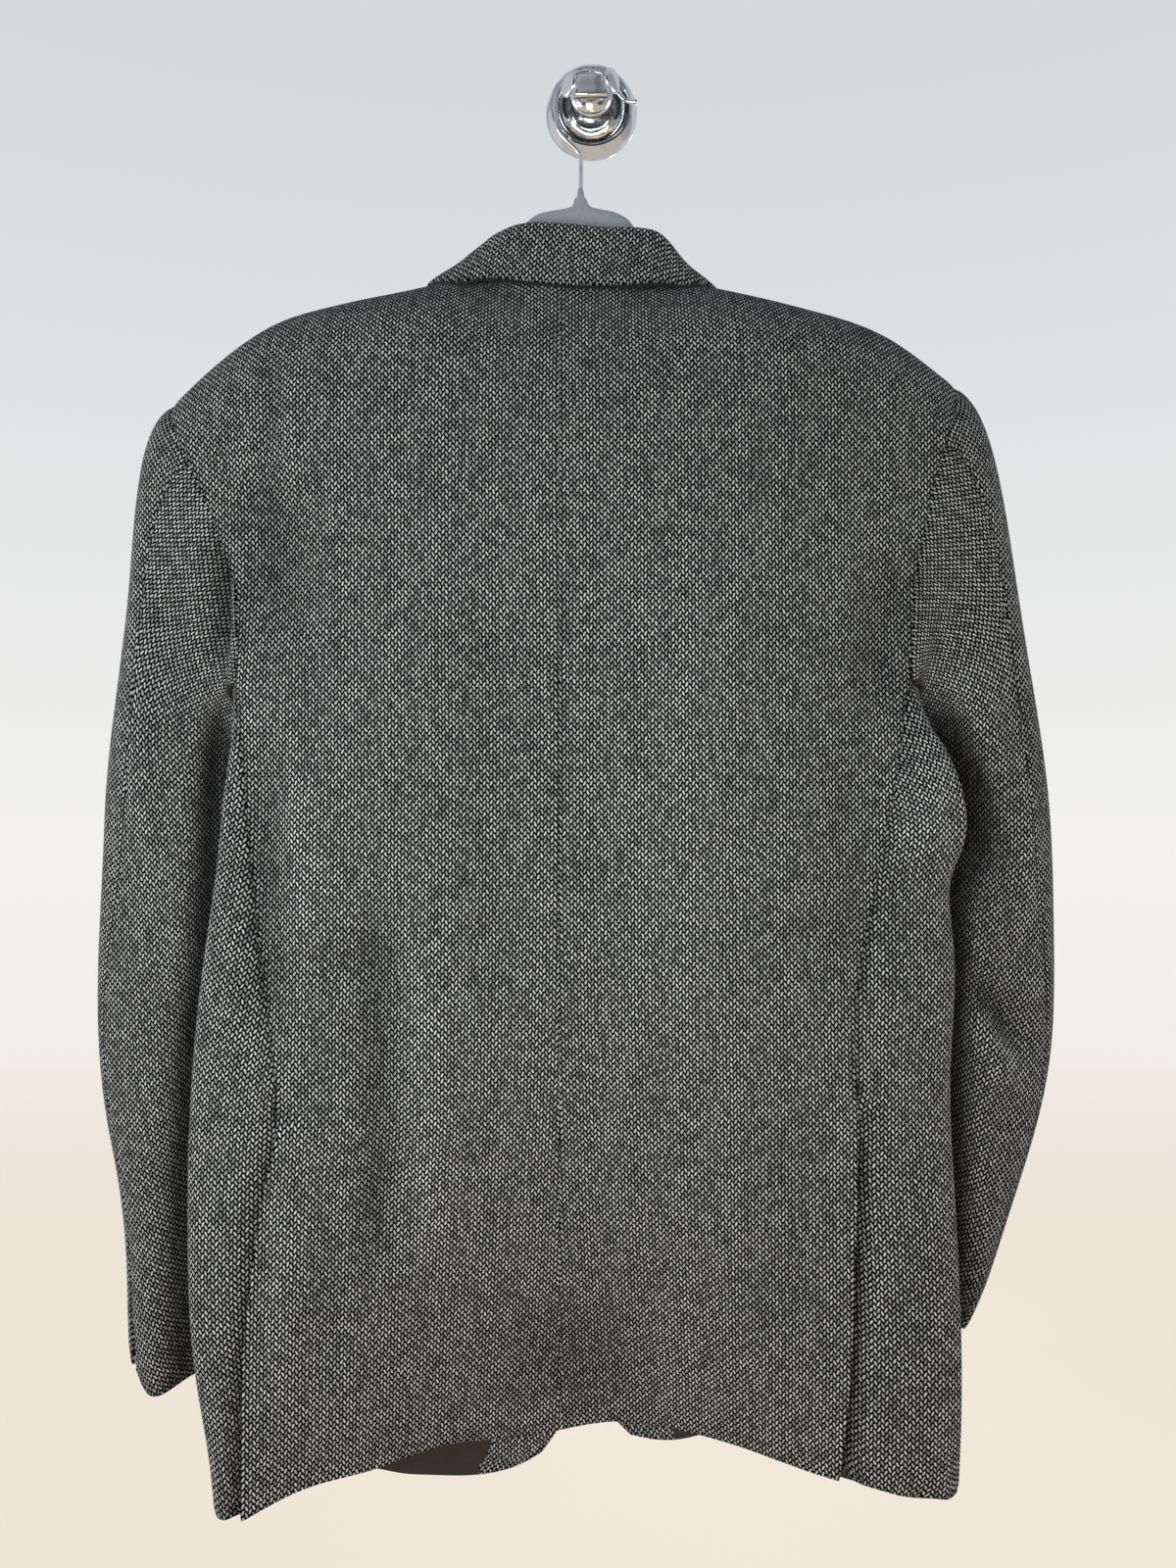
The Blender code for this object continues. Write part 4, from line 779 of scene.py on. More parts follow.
def add_painted_shade(obj, amount):
    """Adds to the sheet's record of painted shade: above 0 the cloth's colour is darkened, below 0
    lightened.
    """
    mesh = obj.data
    known = mesh.attributes.get("painted_shade") or mesh.attributes.new("painted_shade", "FLOAT", "POINT")
    values = np.empty(len(mesh.vertices))
    known.data.foreach_get("value", values)
    known.data.foreach_set("value", np.clip(values + amount, -0.35, 1.0))


def creased(obj, groups, inner=False):
    """Presses the named groups of creases into a sheet, along its own normals, or against them where the
    sheet lines another's inside, and paints shade into their troughs and light onto their ridges."""
    points, out = corners(obj.data), facing(obj.data) * (-1 if inner else 1)
    depth = np.zeros(len(points))
    for group in groups:
        for side, width, deep, *path in CREASES[group]:
            sign = -1 if side == "room" else 1
            faces = step(sign * out[:, 1], -0.1, 0.5)
            depth += crease_depth(points[:, [0, 2]], path, width / 1000) * faces * deep / 1000
    put(obj.data, points - out * depth[:, None])
    # painted shade in the troughs and painted light on the ridges, by their depth
    add_painted_shade(obj, depth / FULL_SHADE_DEPTH)


def rounded_edges(obj, deep, let_out, firm=None, reach=0.0032):
    """Turns the cloth in at its edges, as an ironed seam or hem does, lets the seams out to meet, and paints
    shade along the edges as far as they turn in. firm gives the share of the turning that each point keeps."""
    mesh = bmesh.new()
    mesh.from_mesh(obj.data)
    rim = [e for e in mesh.edges if e.is_boundary]
    for edge in rim:
        face = edge.link_faces[0]
        away = (edge.verts[1].co - edge.verts[0].co).cross(face.normal).normalized()
        middle = (edge.verts[0].co + edge.verts[1].co) / 2
        if away.dot(middle - face.calc_center_median()) < 0:
            away.negate()
        for vert in edge.verts:
            vert.co += away * (let_out / 2)
    tree = KDTree(5 * len(rim))
    count = 0
    for edge in rim:
        one, two = edge.verts[0].co, edge.verts[1].co
        for k in range(5):
            tree.insert(one.lerp(two, k / 5), count)
            count += 1
    mesh.to_mesh(obj.data)
    mesh.free()
    tree.balance()
    points, out = corners(obj.data), facing(obj.data)
    gap = np.array([tree.find(p)[2] for p in points])
    turn = deep * bell(gap, reach)
    if firm:
        turn *= firm(points)
    put(obj.data, points - out * turn[:, None])
    # painted shade along the turned-in edges
    add_painted_shade(obj, SEAM_SHADE * turn / TURNED_IN * bell(gap, 0.6 * reach))


def set_in(obj):
    """Gathers the cloth to the foot of each armhole, where the sleeve's and the body's seams meet."""
    points = corners(obj.data)
    if obj.name.startswith("side_right"):
        drawn_in = step(points[:, 0], 0.200, 0.228) * bell(points[:, 2] - DRAWN_AT, DRAWN_AROUND)
        points[:, 0] -= DRAWN_IN * drawn_in
    for foot in ARMHOLE_FEET:
        away = np.array(foot) - points
        points += away * (GATHERED * bell(np.linalg.norm(away, axis=1), GATHERED_AROUND))[:, None]
    put(obj.data, points)


def cuff_stepped(obj):
    """At the left cuff the top sleeve stands out beyond the under sleeve, and ends a little higher."""
    points = corners(obj.data)
    x, z = points[:, 0].copy(), points[:, 2].copy()
    if obj.name.startswith("top_sleeve_left"):
        points[:, 0] -= CUFF_PARTED * step(-x, 0.278, 0.294) * step(-z, 0.76, 0.82)
        low = (z < CUFF_END) & (x < -0.280)
        points[low, 2] = CUFF_END + CUFF_LEFT_OVER * (z[low] - CUFF_END)
    elif obj.name.startswith("under_sleeve_left"):
        points[:, 0] += CUFF_PARTED * step(-x, 0.284, 0.297) * step(-z, 0.79, 0.835)
        points[:, 2] -= CUFF_LOWER * step(-x, 0.262, 0.286) * step(-z, 0.82, 0.846)
    put(obj.data, points)


def back_turning(points):
    """How much of its turning-in the back keeps: little where it lies over the vents' underlaps,
    and less down the centre seam."""
    x, z = points[:, 0], points[:, 2]
    vents = step(-z, 0.635, 0.660) * step(abs(x), 0.12, 0.14)
    centre = step(-z, 0.44, 0.60) * (1 - step(abs(x + 0.016), 0.02, 0.04))
    return 1 - 0.9 * vents - 0.6 * centre


def under_the_back(obj, back):
    """Lets a side body's underlap fall away beneath the back, so that the vent's edge stands over it, and
    paints a shadow on it beside the back's edge.
    """
    points, out = corners(obj.data), facing(obj.data)
    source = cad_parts[back].data
    tree = BVHTree.FromPolygons([v.co for v in source.vertices], [list(p.vertices) for p in source.polygons])
    gap = np.array([tree.find_nearest(Vector(p))[3] for p in points])
    deep = UNDERLAP_DEEP[back]
    below = step(-points[:, 2], *UNDERLAP_STARTS)
    put(obj.data, points - out * (deep * (1 - step(gap, 0.0010, 0.0120)) * below)[:, None])
    # painted shadow on the side body where the back's edge lies over it
    add_painted_shade(obj, (1 - step(gap, 0.0005, 1.6 * deep)) * below)


def hem_rounded(obj):
    """Rounds the hem where the side bodies turn to the fronts."""
    points = corners(obj.data)
    x, z = points[:, 0], points[:, 2]
    points[:, 2] += sum(
        rise * step(side * x, *sideways) * step(-z, *downwards)
        for side, rise, *steps in HEM_RISES
        for sideways, downwards in [(steps[:2], steps[2:])]
    )
    put(obj.data, points)


def collar_lowered(obj):
    """Lowers the collar's two ends towards the shoulders."""
    points = corners(obj.data)
    ends = step(-points[:, 0], 0.062, 0.090) + step(points[:, 0], 0.038, 0.066)
    points[:, 2] -= COLLAR_LOWERED * ends * step(-points[:, 1], 0.026, 0.040)
    put(obj.data, points)


def walled(obj, outer, inner, thick):
    """Gives the sheet its thickness, inwards, with its inner side faced in its own cloth."""
    obj.data.materials.clear()
    obj.data.materials.append(outer)
    obj.data.materials.append(inner)
    for polygon in obj.data.polygons:
        polygon.material_index = 0
        polygon.use_smooth = True
    applied(obj, "SOLIDIFY", thickness=thick, offset=-1.0, material_offset=1, material_offset_rim=0)
    only(obj)
    bpy.ops.object.shade_smooth_by_angle(angle=radians(50))


def faced(obj, edge, way):
    """Faces the inside of a front in its own cloth, from the front edge to where the lining starts."""
    for polygon in obj.data.polygons:
        if polygon.material_index == 1 and (polygon.center.x - edge) * way > 0:
            polygon.material_index = 0


def sewn(
    name, source, way, outer, inner, thick, creases=(), along="z", halvings=SMALL_HALVINGS,
    turned_in=TRIM_TURNED_IN, let_out=LET_OUT, clear=0.0,
):
    """One piece of cloth, from the solid that holds its place to the finished sheet. A facing or a
    lining stands clear of the front that it lies on."""
    kind = source.rsplit("_", 1)[0]
    obj = copied(name, source)
    thin = source == "collar_under" or kind in ("facing", "lining")
    one_side(obj, way, SOLID_THIN if thin else SOLID_TWEED)
    unwrapped(obj, along)
    halved(obj, halvings)
    creased(obj, creases, clear > 0)
    if kind in ("side", "back", "top_sleeve", "under_sleeve"):
        set_in(obj)
        cuff_stepped(obj)
    if kind.endswith("sleeve"):
        unwrapped(obj, along, ROUNDS_AGAIN)
    if kind == "side":
        under_the_back(obj, source.replace("side", "back"))
    if kind in ("side", "back", "front", "facing", "lining"):
        hem_rounded(obj)
    if turned_in:
        rounded_edges(obj, turned_in, let_out, back_turning if kind == "back" else None)
    if kind == "collar":
        collar_lowered(obj)
    if clear:
        put(obj.data, corners(obj.data) + facing(obj.data) * clear)
    walled(obj, outer, inner, thick)
    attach(obj, "root")
    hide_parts(source)
    return obj


def panels(context, sheets, turned_in=TURNED_IN, let_out=LET_OUT):
    """The large pieces of tweed, each lined in twill."""
    cloth, lining = finish_of(barleycorn), finish_of(twill_lining)
    thick = context.scene.blazer_tweed.wall
    return [
        sewn(
            source + "_cloth", source, way, cloth, lining, thick, creases, halvings=PANEL_HALVINGS,
            turned_in=turned_in, let_out=let_out,
        )
        for source, (way, creases, cut) in sheets.items()
    ]


class BLAZER_OT_body(bpy.types.Operator):
    """Sews the two halves of the back and the side bodies, from the armholes to the vents"""

    bl_idname = "blazer.body"
    bl_label = "Back and side bodies"

    def execute(self, context):
        panels(context, BACKS)
        panels(context, SIDES)
        return {"FINISHED"}


class BLAZER_OT_fronts(bpy.types.Operator):
    """Sews the two fronts"""

    bl_idname = "blazer.fronts"
    bl_label = "Fronts"

    def execute(self, context):
        for source, obj in zip(FRONTS, panels(context, FRONTS)):
            faced(obj, *FACING_EDGE[source])
        return {"FINISHED"}


class BLAZER_OT_sleeves(bpy.types.Operator):
    """Sews the two-piece sleeves"""

    bl_idname = "blazer.sleeves"
    bl_label = "Sleeves"

    def execute(self, context):
        panels(context, SLEEVES, SLEEVE_TURNED_IN, SLEEVE_LET_OUT)
        return {"FINISHED"}


class BLAZER_OT_collar(bpy.types.Operator):
    """Folds the collar over its felt"""

    bl_idname = "blazer.collar"
    bl_label = "Collar and undercollar"

    def execute(self, context):
        cloth, felt = finish_of(barleycorn), finish_of(undercollar_felt)
        sewn(
            "collar_cloth", "collar_top", None, cloth, cloth, context.scene.blazer_tweed.wall,
            along="x",
        )
        sewn(
            "undercollar_felt", "collar_under", None, felt, felt, ONE_PLY,
            along="x", turned_in=0,
        )
        return {"FINISHED"}


class BLAZER_OT_lapels(bpy.types.Operator):
    """Turns the lapels back on the fronts"""

    bl_idname = "blazer.lapels"
    bl_label = "Lapels"

    def execute(self, context):
        cloth = finish_of(barleycorn)
        for side, cut in LAPEL_CUTS.items():
            sewn(
                f"lapel_{side}_cloth", f"lapel_{side}", TO_WALL, cloth, cloth, FRONT_TRIM,
                FRONT,
            )
        return {"FINISHED"}


class BLAZER_OT_linings(bpy.types.Operator):
    """Faces and lines the fronts where they show below the back"""

    bl_idname = "blazer.linings"
    bl_label = "Facings and linings"

    def execute(self, context):
        cloth, lining = finish_of(barleycorn), finish_of(twill_lining)
        for side in FACING_CUTS:
            for kind, cut, finish, slot in (
                ("facing", FACING_CUTS[side], cloth, "tweed"),
                ("lining", LINING_CUTS[side], lining, "twill_lining"),
            ):
                sewn(
                    f"{kind}_{side}_cloth", f"{kind}_{side}", TO_ROOM, finish, finish, ONE_PLY,
                    FRONT, turned_in=0, clear=CLEAR_OF_FRONT,
                )
        return {"FINISHED"}


class BLAZER_OT_pockets(bpy.types.Operator):
    """Lays the pocket flaps and the breast welt on the fronts"""

    bl_idname = "blazer.pockets"
    bl_label = "Pocket flaps and breast welt"

    def execute(self, context):
        cloth, lining = finish_of(barleycorn), finish_of(twill_lining)
        for source, (cut, front) in POCKETS.items():
            sewn(
                source + "_cloth", source, TO_WALL, cloth, lining, FRONT_TRIM,
                FRONT,
            )
        return {"FINISHED"}


# ---------------------------------------------------------------- buttons

# A button's profile, from the middle of its back to the middle of its face, in shares of its
# radius and of its thickness.
BUTTON = (
    (0.55, -0.50), (0.90, -0.42), (0.985, -0.12), (1.0, 0.10), (0.985, 0.34), (0.93, 0.48),
    (0.86, 0.50), (0.78, 0.42), (0.70, 0.22), (0.60, 0.15), (0.20, 0.13),
)
BUTTON_SIDES = 40
HOLE_AWAY, HOLE_RADIUS = 0.24, 0.095  # shares of the button's radius
HOLES_AT = [pi / 4 + k * pi / 2 for k in range(4)]
STRAND = 0.00022  # radius of a strand of thread
FRONT_BUTTON_THICK, CUFF_BUTTON_THICK = 0.0038, 0.0029
CUFF_BUTTONS_FACE = {"left": (-0.3, 1, 0), "right": (0.3, 1, 0)}


def middle_and_axis(source):
    """The middle and the axis of a flat round CAD node."""
    points = corners(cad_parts[source].data)
    middle = (points.max(axis=0) + points.min(axis=0)) / 2
    ways = np.linalg.eigh(np.cov((points - middle).T))[1]
    return middle, ways[:, 0]


def turned(name, profile, sides):
    """Turns a form on its axis: the first ring is a disc, and each next (radius, height) is
    extruded from it and resized."""
    plain_selection()
    (radius, height), *rest = profile
    bpy.ops.mesh.primitive_circle_add(
        vertices=sides, radius=radius, fill_type="NGON", location=(0, 0, height)
    )
    obj = bpy.context.object
    obj.name = obj.data.name = name
    bpy.ops.object.transform_apply(location=True, rotation=True, scale=True)
    bpy.ops.object.mode_set(mode="EDIT")
    bpy.ops.mesh.select_all(action="SELECT")
    for new_radius, new_height in rest:
        bpy.ops.mesh.extrude_region_move(TRANSFORM_OT_translate={"value": (0, 0, new_height - height)})
        share = new_radius / radius
        bpy.ops.transform.resize(value=(share, share, 1), center_override=(0, 0, new_height))
        radius, height = new_radius, new_height
    bpy.ops.mesh.select_all(action="SELECT")
    bpy.ops.mesh.normals_make_consistent(inside=False)
    bpy.ops.object.mode_set(mode="OBJECT")
    return obj


def stood(obj, middle, axis):
    """Turns a form made on the Z axis to its own axis, and puts it in its place."""
    upright = Vector(axis).normalized().to_track_quat("Z", "Y").to_matrix().to_4x4()
    obj.data.transform(Matrix.Translation(Vector(middle)) @ upright)
    obj.data.update()


def button_form(radius, thick):
    """A four-hole button: a dished face inside a rolled rim, pierced."""
    obj = turned("button", [(radius * away, thick * high) for away, high in BUTTON], BUTTON_SIDES)
    cutters = []
    for turn in HOLES_AT:
        bpy.ops.mesh.primitive_cylinder_add(
            vertices=16, radius=radius * HOLE_RADIUS, depth=thick * 3,
            location=(radius * HOLE_AWAY * cos(turn), radius * HOLE_AWAY * sin(turn), 0),
        )
        cutters.append(bpy.context.object)
    for cutter in cutters:
        applied(obj, "BOOLEAN", operation="DIFFERENCE", object=cutter, solver="EXACT")
    for cutter in cutters:
        bpy.data.objects.remove(cutter)
    only(obj)
    bpy.ops.object.shade_smooth_by_angle(angle=radians(35))
    return obj


def thread_form(radius, thick):
    """The cross of thread through a button's holes, two strands each way."""
    strands = []
    flattened = Matrix.Diagonal((1, 1, 0.42, 1)) @ Matrix.Rotation(pi / 2, 4, "X")
    for turn in HOLES_AT[:2]:
        for beside in (-STRAND, STRAND):
            plain_selection()
            bpy.ops.mesh.primitive_torus_add(
                major_radius=radius * HOLE_AWAY, minor_radius=STRAND, major_segments=16, minor_segments=6
            )
            strand = bpy.context.object
            moved = Matrix.Translation((0, beside, thick * 0.10))
            strand.data.transform(Matrix.Rotation(turn, 4, "Z") @ moved @ flattened)
            strands.append(strand)
    joined(strands)
    bpy.ops.object.shade_smooth_by_angle(angle=radians(60))
    return strands[0]


def sew_buttons(sources, radius, thick, outwards):
    """Copies of one button and its thread, each over its own solid."""
    form, cross = button_form(radius, thick), thread_form(radius, thick)
    form.data.materials.append(finish_of(horn))
    cross.data.materials.append(finish_of(sewing_thread))
    for source in sources:
        middle, axis = middle_and_axis(source)
        if axis @ np.array(outwards) < 0:
            axis = -axis
        for pattern, ending, slot in ((form, "_horn", "horn"), (cross, "_thread", None)):
            piece = bpy.data.objects.new(source + ending, pattern.data.copy())
            bpy.context.scene.collection.objects.link(piece)
            stood(piece, middle, axis)
            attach(piece, "root")
            if slot:
                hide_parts(source)
    bpy.data.objects.remove(form)
    bpy.data.objects.remove(cross)


class BLAZER_OT_buttons(bpy.types.Operator):
    """Turns and sews on the two front buttons and three at each cuff"""

    bl_idname = "blazer.buttons"
    bl_label = "Buttons"

    def execute(self, context):
        sizes = context.scene.blazer_fittings
        fronts = ("front_button_upper", "front_button_lower")
        sew_buttons(fronts, sizes.front_button / 2, FRONT_BUTTON_THICK, TO_WALL)
        for side, way in CUFF_BUTTONS_FACE.items():
            cuff = [f"cuff_button_{side}_{k}" for k in (1, 2, 3)]
            sew_buttons(cuff, sizes.cuff_button / 2, CUFF_BUTTON_THICK, way)
        return {"FINISHED"}


# ---------------------------------------------------------------- hanger and hook

# The line that the hanger's wire follows, as (x, z): up from the hanger, round the loop, to the tip.
# Its foot stands further from the wall than the rest.
WIRE_PATH = (
    (-0.0070, -0.0692), (-0.0069, -0.0570), (-0.0069, -0.0455), (-0.0077, -0.0432),
    (-0.0094, -0.0412), (-0.0146, -0.0364), (-0.0200, -0.0308), (-0.0226, -0.0250),
)
WIRE_TIP = ((0.0150, -0.0004), (0.0202, -0.0066), (0.0222, -0.0088), (0.0250, -0.0094), (0.0285, -0.0094))
WIRE_LOOP = (-0.0008, -0.0126, 0.0231)  # x and z of its middle, and its radius
WIRE_TURNS = [radians(degrees) for degrees in range(-14, 135, 8)]
WIRE_AWAY, WIRE_FOOT_AWAY = 0.0325, 0.0365
WIRE_LEANS_BELOW = 0.040
WIRE_BALL = 0.00185  # radius of the ball on the tip

# Profiles of the robe hook, in millimetres: (radius, distance from the wall)
ROSETTE = (
    (31.0, 0.0), (31.0, 2.0), (30.3, 4.8), (28.8, 9.5), (27.5, 12.5), (26.2, 13.0), (25.2, 12.0),
    (23.6, 8.5), (20.5, 5.0), (16.0, 3.2), (6.0, 3.0),
)
POST = (
    (12.6, 3.3), (13.2, 3.6), (13.4, 4.2), (13.4, 8.2), (13.0, 8.8), (12.0, 9.2), (11.9, 10.2),
    (12.6, 11.0), (13.6, 11.8), (13.8, 12.4), (13.8, 17.8), (13.4, 18.5), (12.8, 18.8), (13.0, 19.6),
    (14.0, 20.8), (14.3, 22.2), (14.1, 24.5), (13.4, 26.2), (12.0, 27.5), (10.2, 28.5), (8.9, 29.2),
    (8.7, 30.0), (8.7, 35.5),
)
ROSETTE_SIDES, POST_SIDES = 96, 120
KNURLED = ((0.0134, 0.0042, 0.0082), (0.0138, 0.0124, 0.0178))  # radius, and the distances it runs between
TOOTH = 0.0009  # depth of the knurling
BEVELS = {"hook_crown": 0.0009, "hook_horn_left": 0.0007, "hook_horn_right": 0.0007}


def finished(obj, source, material, angle):
    """Gives a hard piece its finish and its smooth shading, and hides the solid that it stands for."""
    obj.data.materials.append(material)
    for polygon in obj.data.polygons:
        polygon.material_index = 0
    only(obj)
    bpy.ops.object.shade_smooth_by_angle(angle=radians(angle))
    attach(obj, "root")
    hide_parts(source)


class BLAZER_OT_hanger(bpy.types.Operator):
    """Smooths and flocks the hanger's arms"""

    bl_idname = "blazer.hanger"
    bl_label = "Hanger"

    def execute(self, context):
        obj = copied("hanger_flocked", "hanger_body")
        halved(obj, SMALL_HALVINGS)
        finished(obj, "hanger_body", finish_of(flock), 45)
        return {"FINISHED"}


class BLAZER_OT_wire_hook(bpy.types.Operator):
    """Bends the hanger's wire hook"""

    bl_idname = "blazer.wire_hook"
    bl_label = "Wire hook"

    def execute(self, context):
        x0, z0, radius = WIRE_LOOP
        loop = [(x0 - radius * cos(t), z0 + radius * sin(t)) for t in WIRE_TURNS]
        path = [*WIRE_PATH, *loop, *WIRE_TIP]
        plain_selection()
        bpy.ops.curve.primitive_nurbs_path_add()
        obj = bpy.context.object
        obj.name = "wire_hook"
        curve = obj.data
        curve.splines.clear()
        spline = curve.splines.new("NURBS")
        spline.points.add(len(path) - 1)
        for point, (x, z) in zip(spline.points, path):
            lean = float(step(-z, WIRE_LEANS_BELOW, -WIRE_PATH[0][1]))
            point.co = (x, -(WIRE_AWAY + (WIRE_FOOT_AWAY - WIRE_AWAY) * lean), z, 1)
        spline.order_u = 4
        spline.use_endpoint_u = True
        curve.resolution_u = 6
        curve.bevel_depth = context.scene.blazer_fittings.wire / 2
        curve.bevel_resolution = 5
        curve.use_fill_caps = True
        only(obj)
        bpy.ops.object.convert(target="MESH")
        obj = bpy.context.object
        plain_selection()
        bpy.ops.mesh.primitive_uv_sphere_add(segments=24, ring_count=14, radius=WIRE_BALL)
        ball = bpy.context.object
        tip_x, tip_z = WIRE_TIP[-1]
        ball.data.transform(Matrix.Translation((tip_x, -WIRE_AWAY, tip_z)))
        joined([obj, ball])
        finished(obj, "hanger_hook", finish_of(chrome), 50)
        return {"FINISHED"}


class BLAZER_OT_robe_hook(bpy.types.Operator):
    """Turns the robe hook's rosette and post, and shapes its crown and horns"""

    bl_idname = "blazer.robe_hook"
    bl_label = "Robe hook"

    def execute(self, context):
        metal = finish_of(chrome)
        rosette = turned("rosette_turned", np.array(ROSETTE) / 1000, ROSETTE_SIDES)
        post = turned("post_turned", np.array(POST) / 1000, POST_SIDES)
        self.knurl(post)
        for obj, source in ((rosette, "wall_rosette"), (post, "hook_post")):
            stood(obj, (0, 0, 0), TO_ROOM)
            finished(obj, source, metal, 28)
        for source, width in BEVELS.items():
            obj = copied(source + "_polished", source)
            only(obj)
            bpy.ops.object.mode_set(mode="EDIT")
            bpy.ops.mesh.select_all(action="SELECT")
            bpy.ops.mesh.dissolve_limited(angle_limit=radians(3))
            bpy.ops.object.mode_set(mode="OBJECT")
            applied(obj, "BEVEL", width=width, segments=3, limit_method="ANGLE", angle_limit=radians(25))
            finished(obj, source, metal, 30)
        return {"FINISHED"}

    def knurl(self, post):
        """Cuts the teeth of the post's two grip rings: every second side lies deeper."""
        points = corners(post.data)
        around = np.arctan2(points[:, 1], points[:, 0])
        tooth = np.round(around / (2 * pi) * POST_SIDES).astype(int) % 2
        for radius, low, high in KNURLED:
            on = (points[:, 2] > low - 1e-5) & (points[:, 2] < high + 1e-5)
            points[on & (tooth == 1), :2] *= 1 - TOOTH / radius
        put(post.data, points)


# ---------------------------------------------------------------- stage

SENSOR = 36  # millimetres
LIT = (0, -0.04, -0.45)  # where every lamp points
# Square lamps: place, size in metres, power in watts, colour
LAMPS = {
    "key": ((-0.14, -0.92, -0.52), 0.35, 4.25, (0.91, 0.97, 1.0)),
    "side": ((-1.2, -1.00, -0.40), 0.6, 2.6, (0.91, 0.96, 1.0)),
    "low": ((0.05, -0.95, -1.25), 0.5, 1.35, (1.0, 0.50, 0.16)),
    "left": ((-2.4, 0.30, -0.40), 1.2, 16, (0.97, 0.98, 1.0)),
    "right": ((2.4, 0.30, -0.40), 1.2, 16, (0.97, 0.98, 1.0)),
    "back": ((0.3, 2.2, -0.1), 1.6, 26, (1.0, 1.0, 1.0)),
}
DOORS = 9.0  # how close the room's dark doors follow each other, in the chrome
FLOOR_SIZE = 8
MOTTLE_EVERY = 333.3  # millimetres


def paint_room(world):
    """What the camera sees round the blazer, what lights it, and what shows in its chrome."""
    world.use_nodes = True
    tree = world.node_tree
    tree.nodes.clear()
    way = node(tree, "TexCoord", out="Generated")
    parts = node(tree, "SeparateXYZ", {"Vector": way}, out=None).outputs
    height, depth, across = parts["Z"], parts["Y"], parts["X"]
    # what the camera sees: a pale wall, warmer below and bluer above
    share = node(tree, "MapRange", {"Value": height, "From Min": -0.24, "From Max": -0.05})
    seen = node(
        tree, "Mix", {0: share, 6: srgb("f0ece4"), 7: srgb("f2f1ef")}, out=2, data_type="RGBA"
    )
    share = node(tree, "MapRange", {"Value": height, "From Min": -0.05, "From Max": 0.5})
    seen = node(tree, "Mix", {0: share, 6: seen, 7: srgb("d4d9dc")}, out=2, data_type="RGBA")
    # what lights the cloth: a dim room behind the camera, warmer below
    share = node(
        tree, "MapRange", {"Value": depth, "From Min": -0.35, "From Max": 0.3},
        interpolation_type="SMOOTHSTEP",
    )
    room = node(
        tree, "Mix", {0: share, 6: srgb("3c3e41"), 7: srgb("83868a")}, out=2, data_type="RGBA"
    )
    share = node(
        tree, "MapRange",
        {"Value": height, "From Min": -0.9, "From Max": -0.2, "To Min": 0.55, "To Max": 0.0},
        interpolation_type="SMOOTHSTEP",
    )
    room = node(tree, "Mix", {0: share, 6: room, 7: srgb("6b5a48")}, out=2, data_type="RGBA")
    # what shows in the chrome: the pale wall all round it, the dark room in front, and its doors
    share = node(
        tree, "MapRange", {"Value": height, "From Min": -0.6, "From Max": 0.6},
        interpolation_type="SMOOTHSTEP",
    )
    walls = node(
        tree, "Mix", {0: share, 6: srgb("ece8e2"), 7: srgb("cfd6da")}, out=2, data_type="RGBA"
    )
    share = node(
        tree, "MapRange", {"Value": height, "From Min": 0.25, "From Max": 0.6},
        interpolation_type="SMOOTHSTEP",
    )
    front = node(
        tree, "Mix", {0: share, 6: srgb("35312e"), 7: srgb("9da1a5")}, out=2, data_type="RGBA"
    )
    share = node(
        tree, "MapRange",
        {"Value": depth, "From Min": -0.85, "From Max": -0.45, "To Min": 0.94, "To Max": 0.0},
        interpolation_type="SMOOTHSTEP",
    )
    walls = node(tree, "Mix", {0: share, 6: walls, 7: front}, out=2, data_type="RGBA")
    doors = node(tree, "Math", {0: across, 1: DOORS}, operation="MULTIPLY")
    doors = node(tree, "Math", {0: doors}, operation="SINE")
    share = node(
        tree, "MapRange", {"Value": doors, "From Min": 0.5, "From Max": 0.9, "To Max": 0.45},
        interpolation_type="SMOOTHSTEP",
    )
    walls = node(tree, "Mix", {0: share, 6: walls, 7: srgb("4a4d50")}, out=2, data_type="RGBA")
    ray = node(tree, "LightPath", out=None).outputs
    room = node(tree, "Mix", {0: ray["Is Glossy Ray"], 6: room, 7: walls}, out=2, data_type="RGBA")
    colour = node(tree, "Mix", {0: ray["Is Camera Ray"], 6: room, 7: seen}, out=2, data_type="RGBA")
    light = node(tree, "Background", {"Color": colour, "Strength": 1.0})
    node(tree, "OutputWorld", {"Surface": light}, out=None)


def pale_floor(name="Pale floor"):
    """A floor that is pale to the camera and in the chrome, and lights the cloth only a little."""
    made, tree, shader = new_material(name, {"Roughness": 0.8})
    place = node(tree, "TexCoord", out="Object")
    mottle = node(tree, "TexNoise", {"Vector": place, "Scale": 1000 / MOTTLE_EVERY})
    colour = node(
        tree, "Mix", {0: mottle, 6: srgb("5a554c"), 7: srgb("544f47")}, out=2, data_type="RGBA"
    )
    tree.links.new(colour, shader.inputs["Base Color"])
    away = node(tree, "SeparateXYZ", {"Vector": place}, out="Y")
    share = node(tree, "MapRange", {"Value": away, "From Min": 1.6, "From Max": 3.9})
    pale = node(
        tree, "Mix", {0: share, 6: srgb("e8dfd0"), 7: srgb("eeeae2")}, out=2, data_type="RGBA"
    )
    tree.links.new(pale, shader.inputs["Emission Color"])
    ray = node(tree, "LightPath", out=None).outputs
    glow = node(tree, "Math", {0: ray["Is Camera Ray"], 1: 0.95}, operation="MULTIPLY")
    glow = node(tree, "Math", {0: ray["Is Glossy Ray"], 1: 0.75, 2: glow}, operation="MULTIPLY_ADD")
    tree.links.new(glow, shader.inputs["Emission Strength"])
    return made


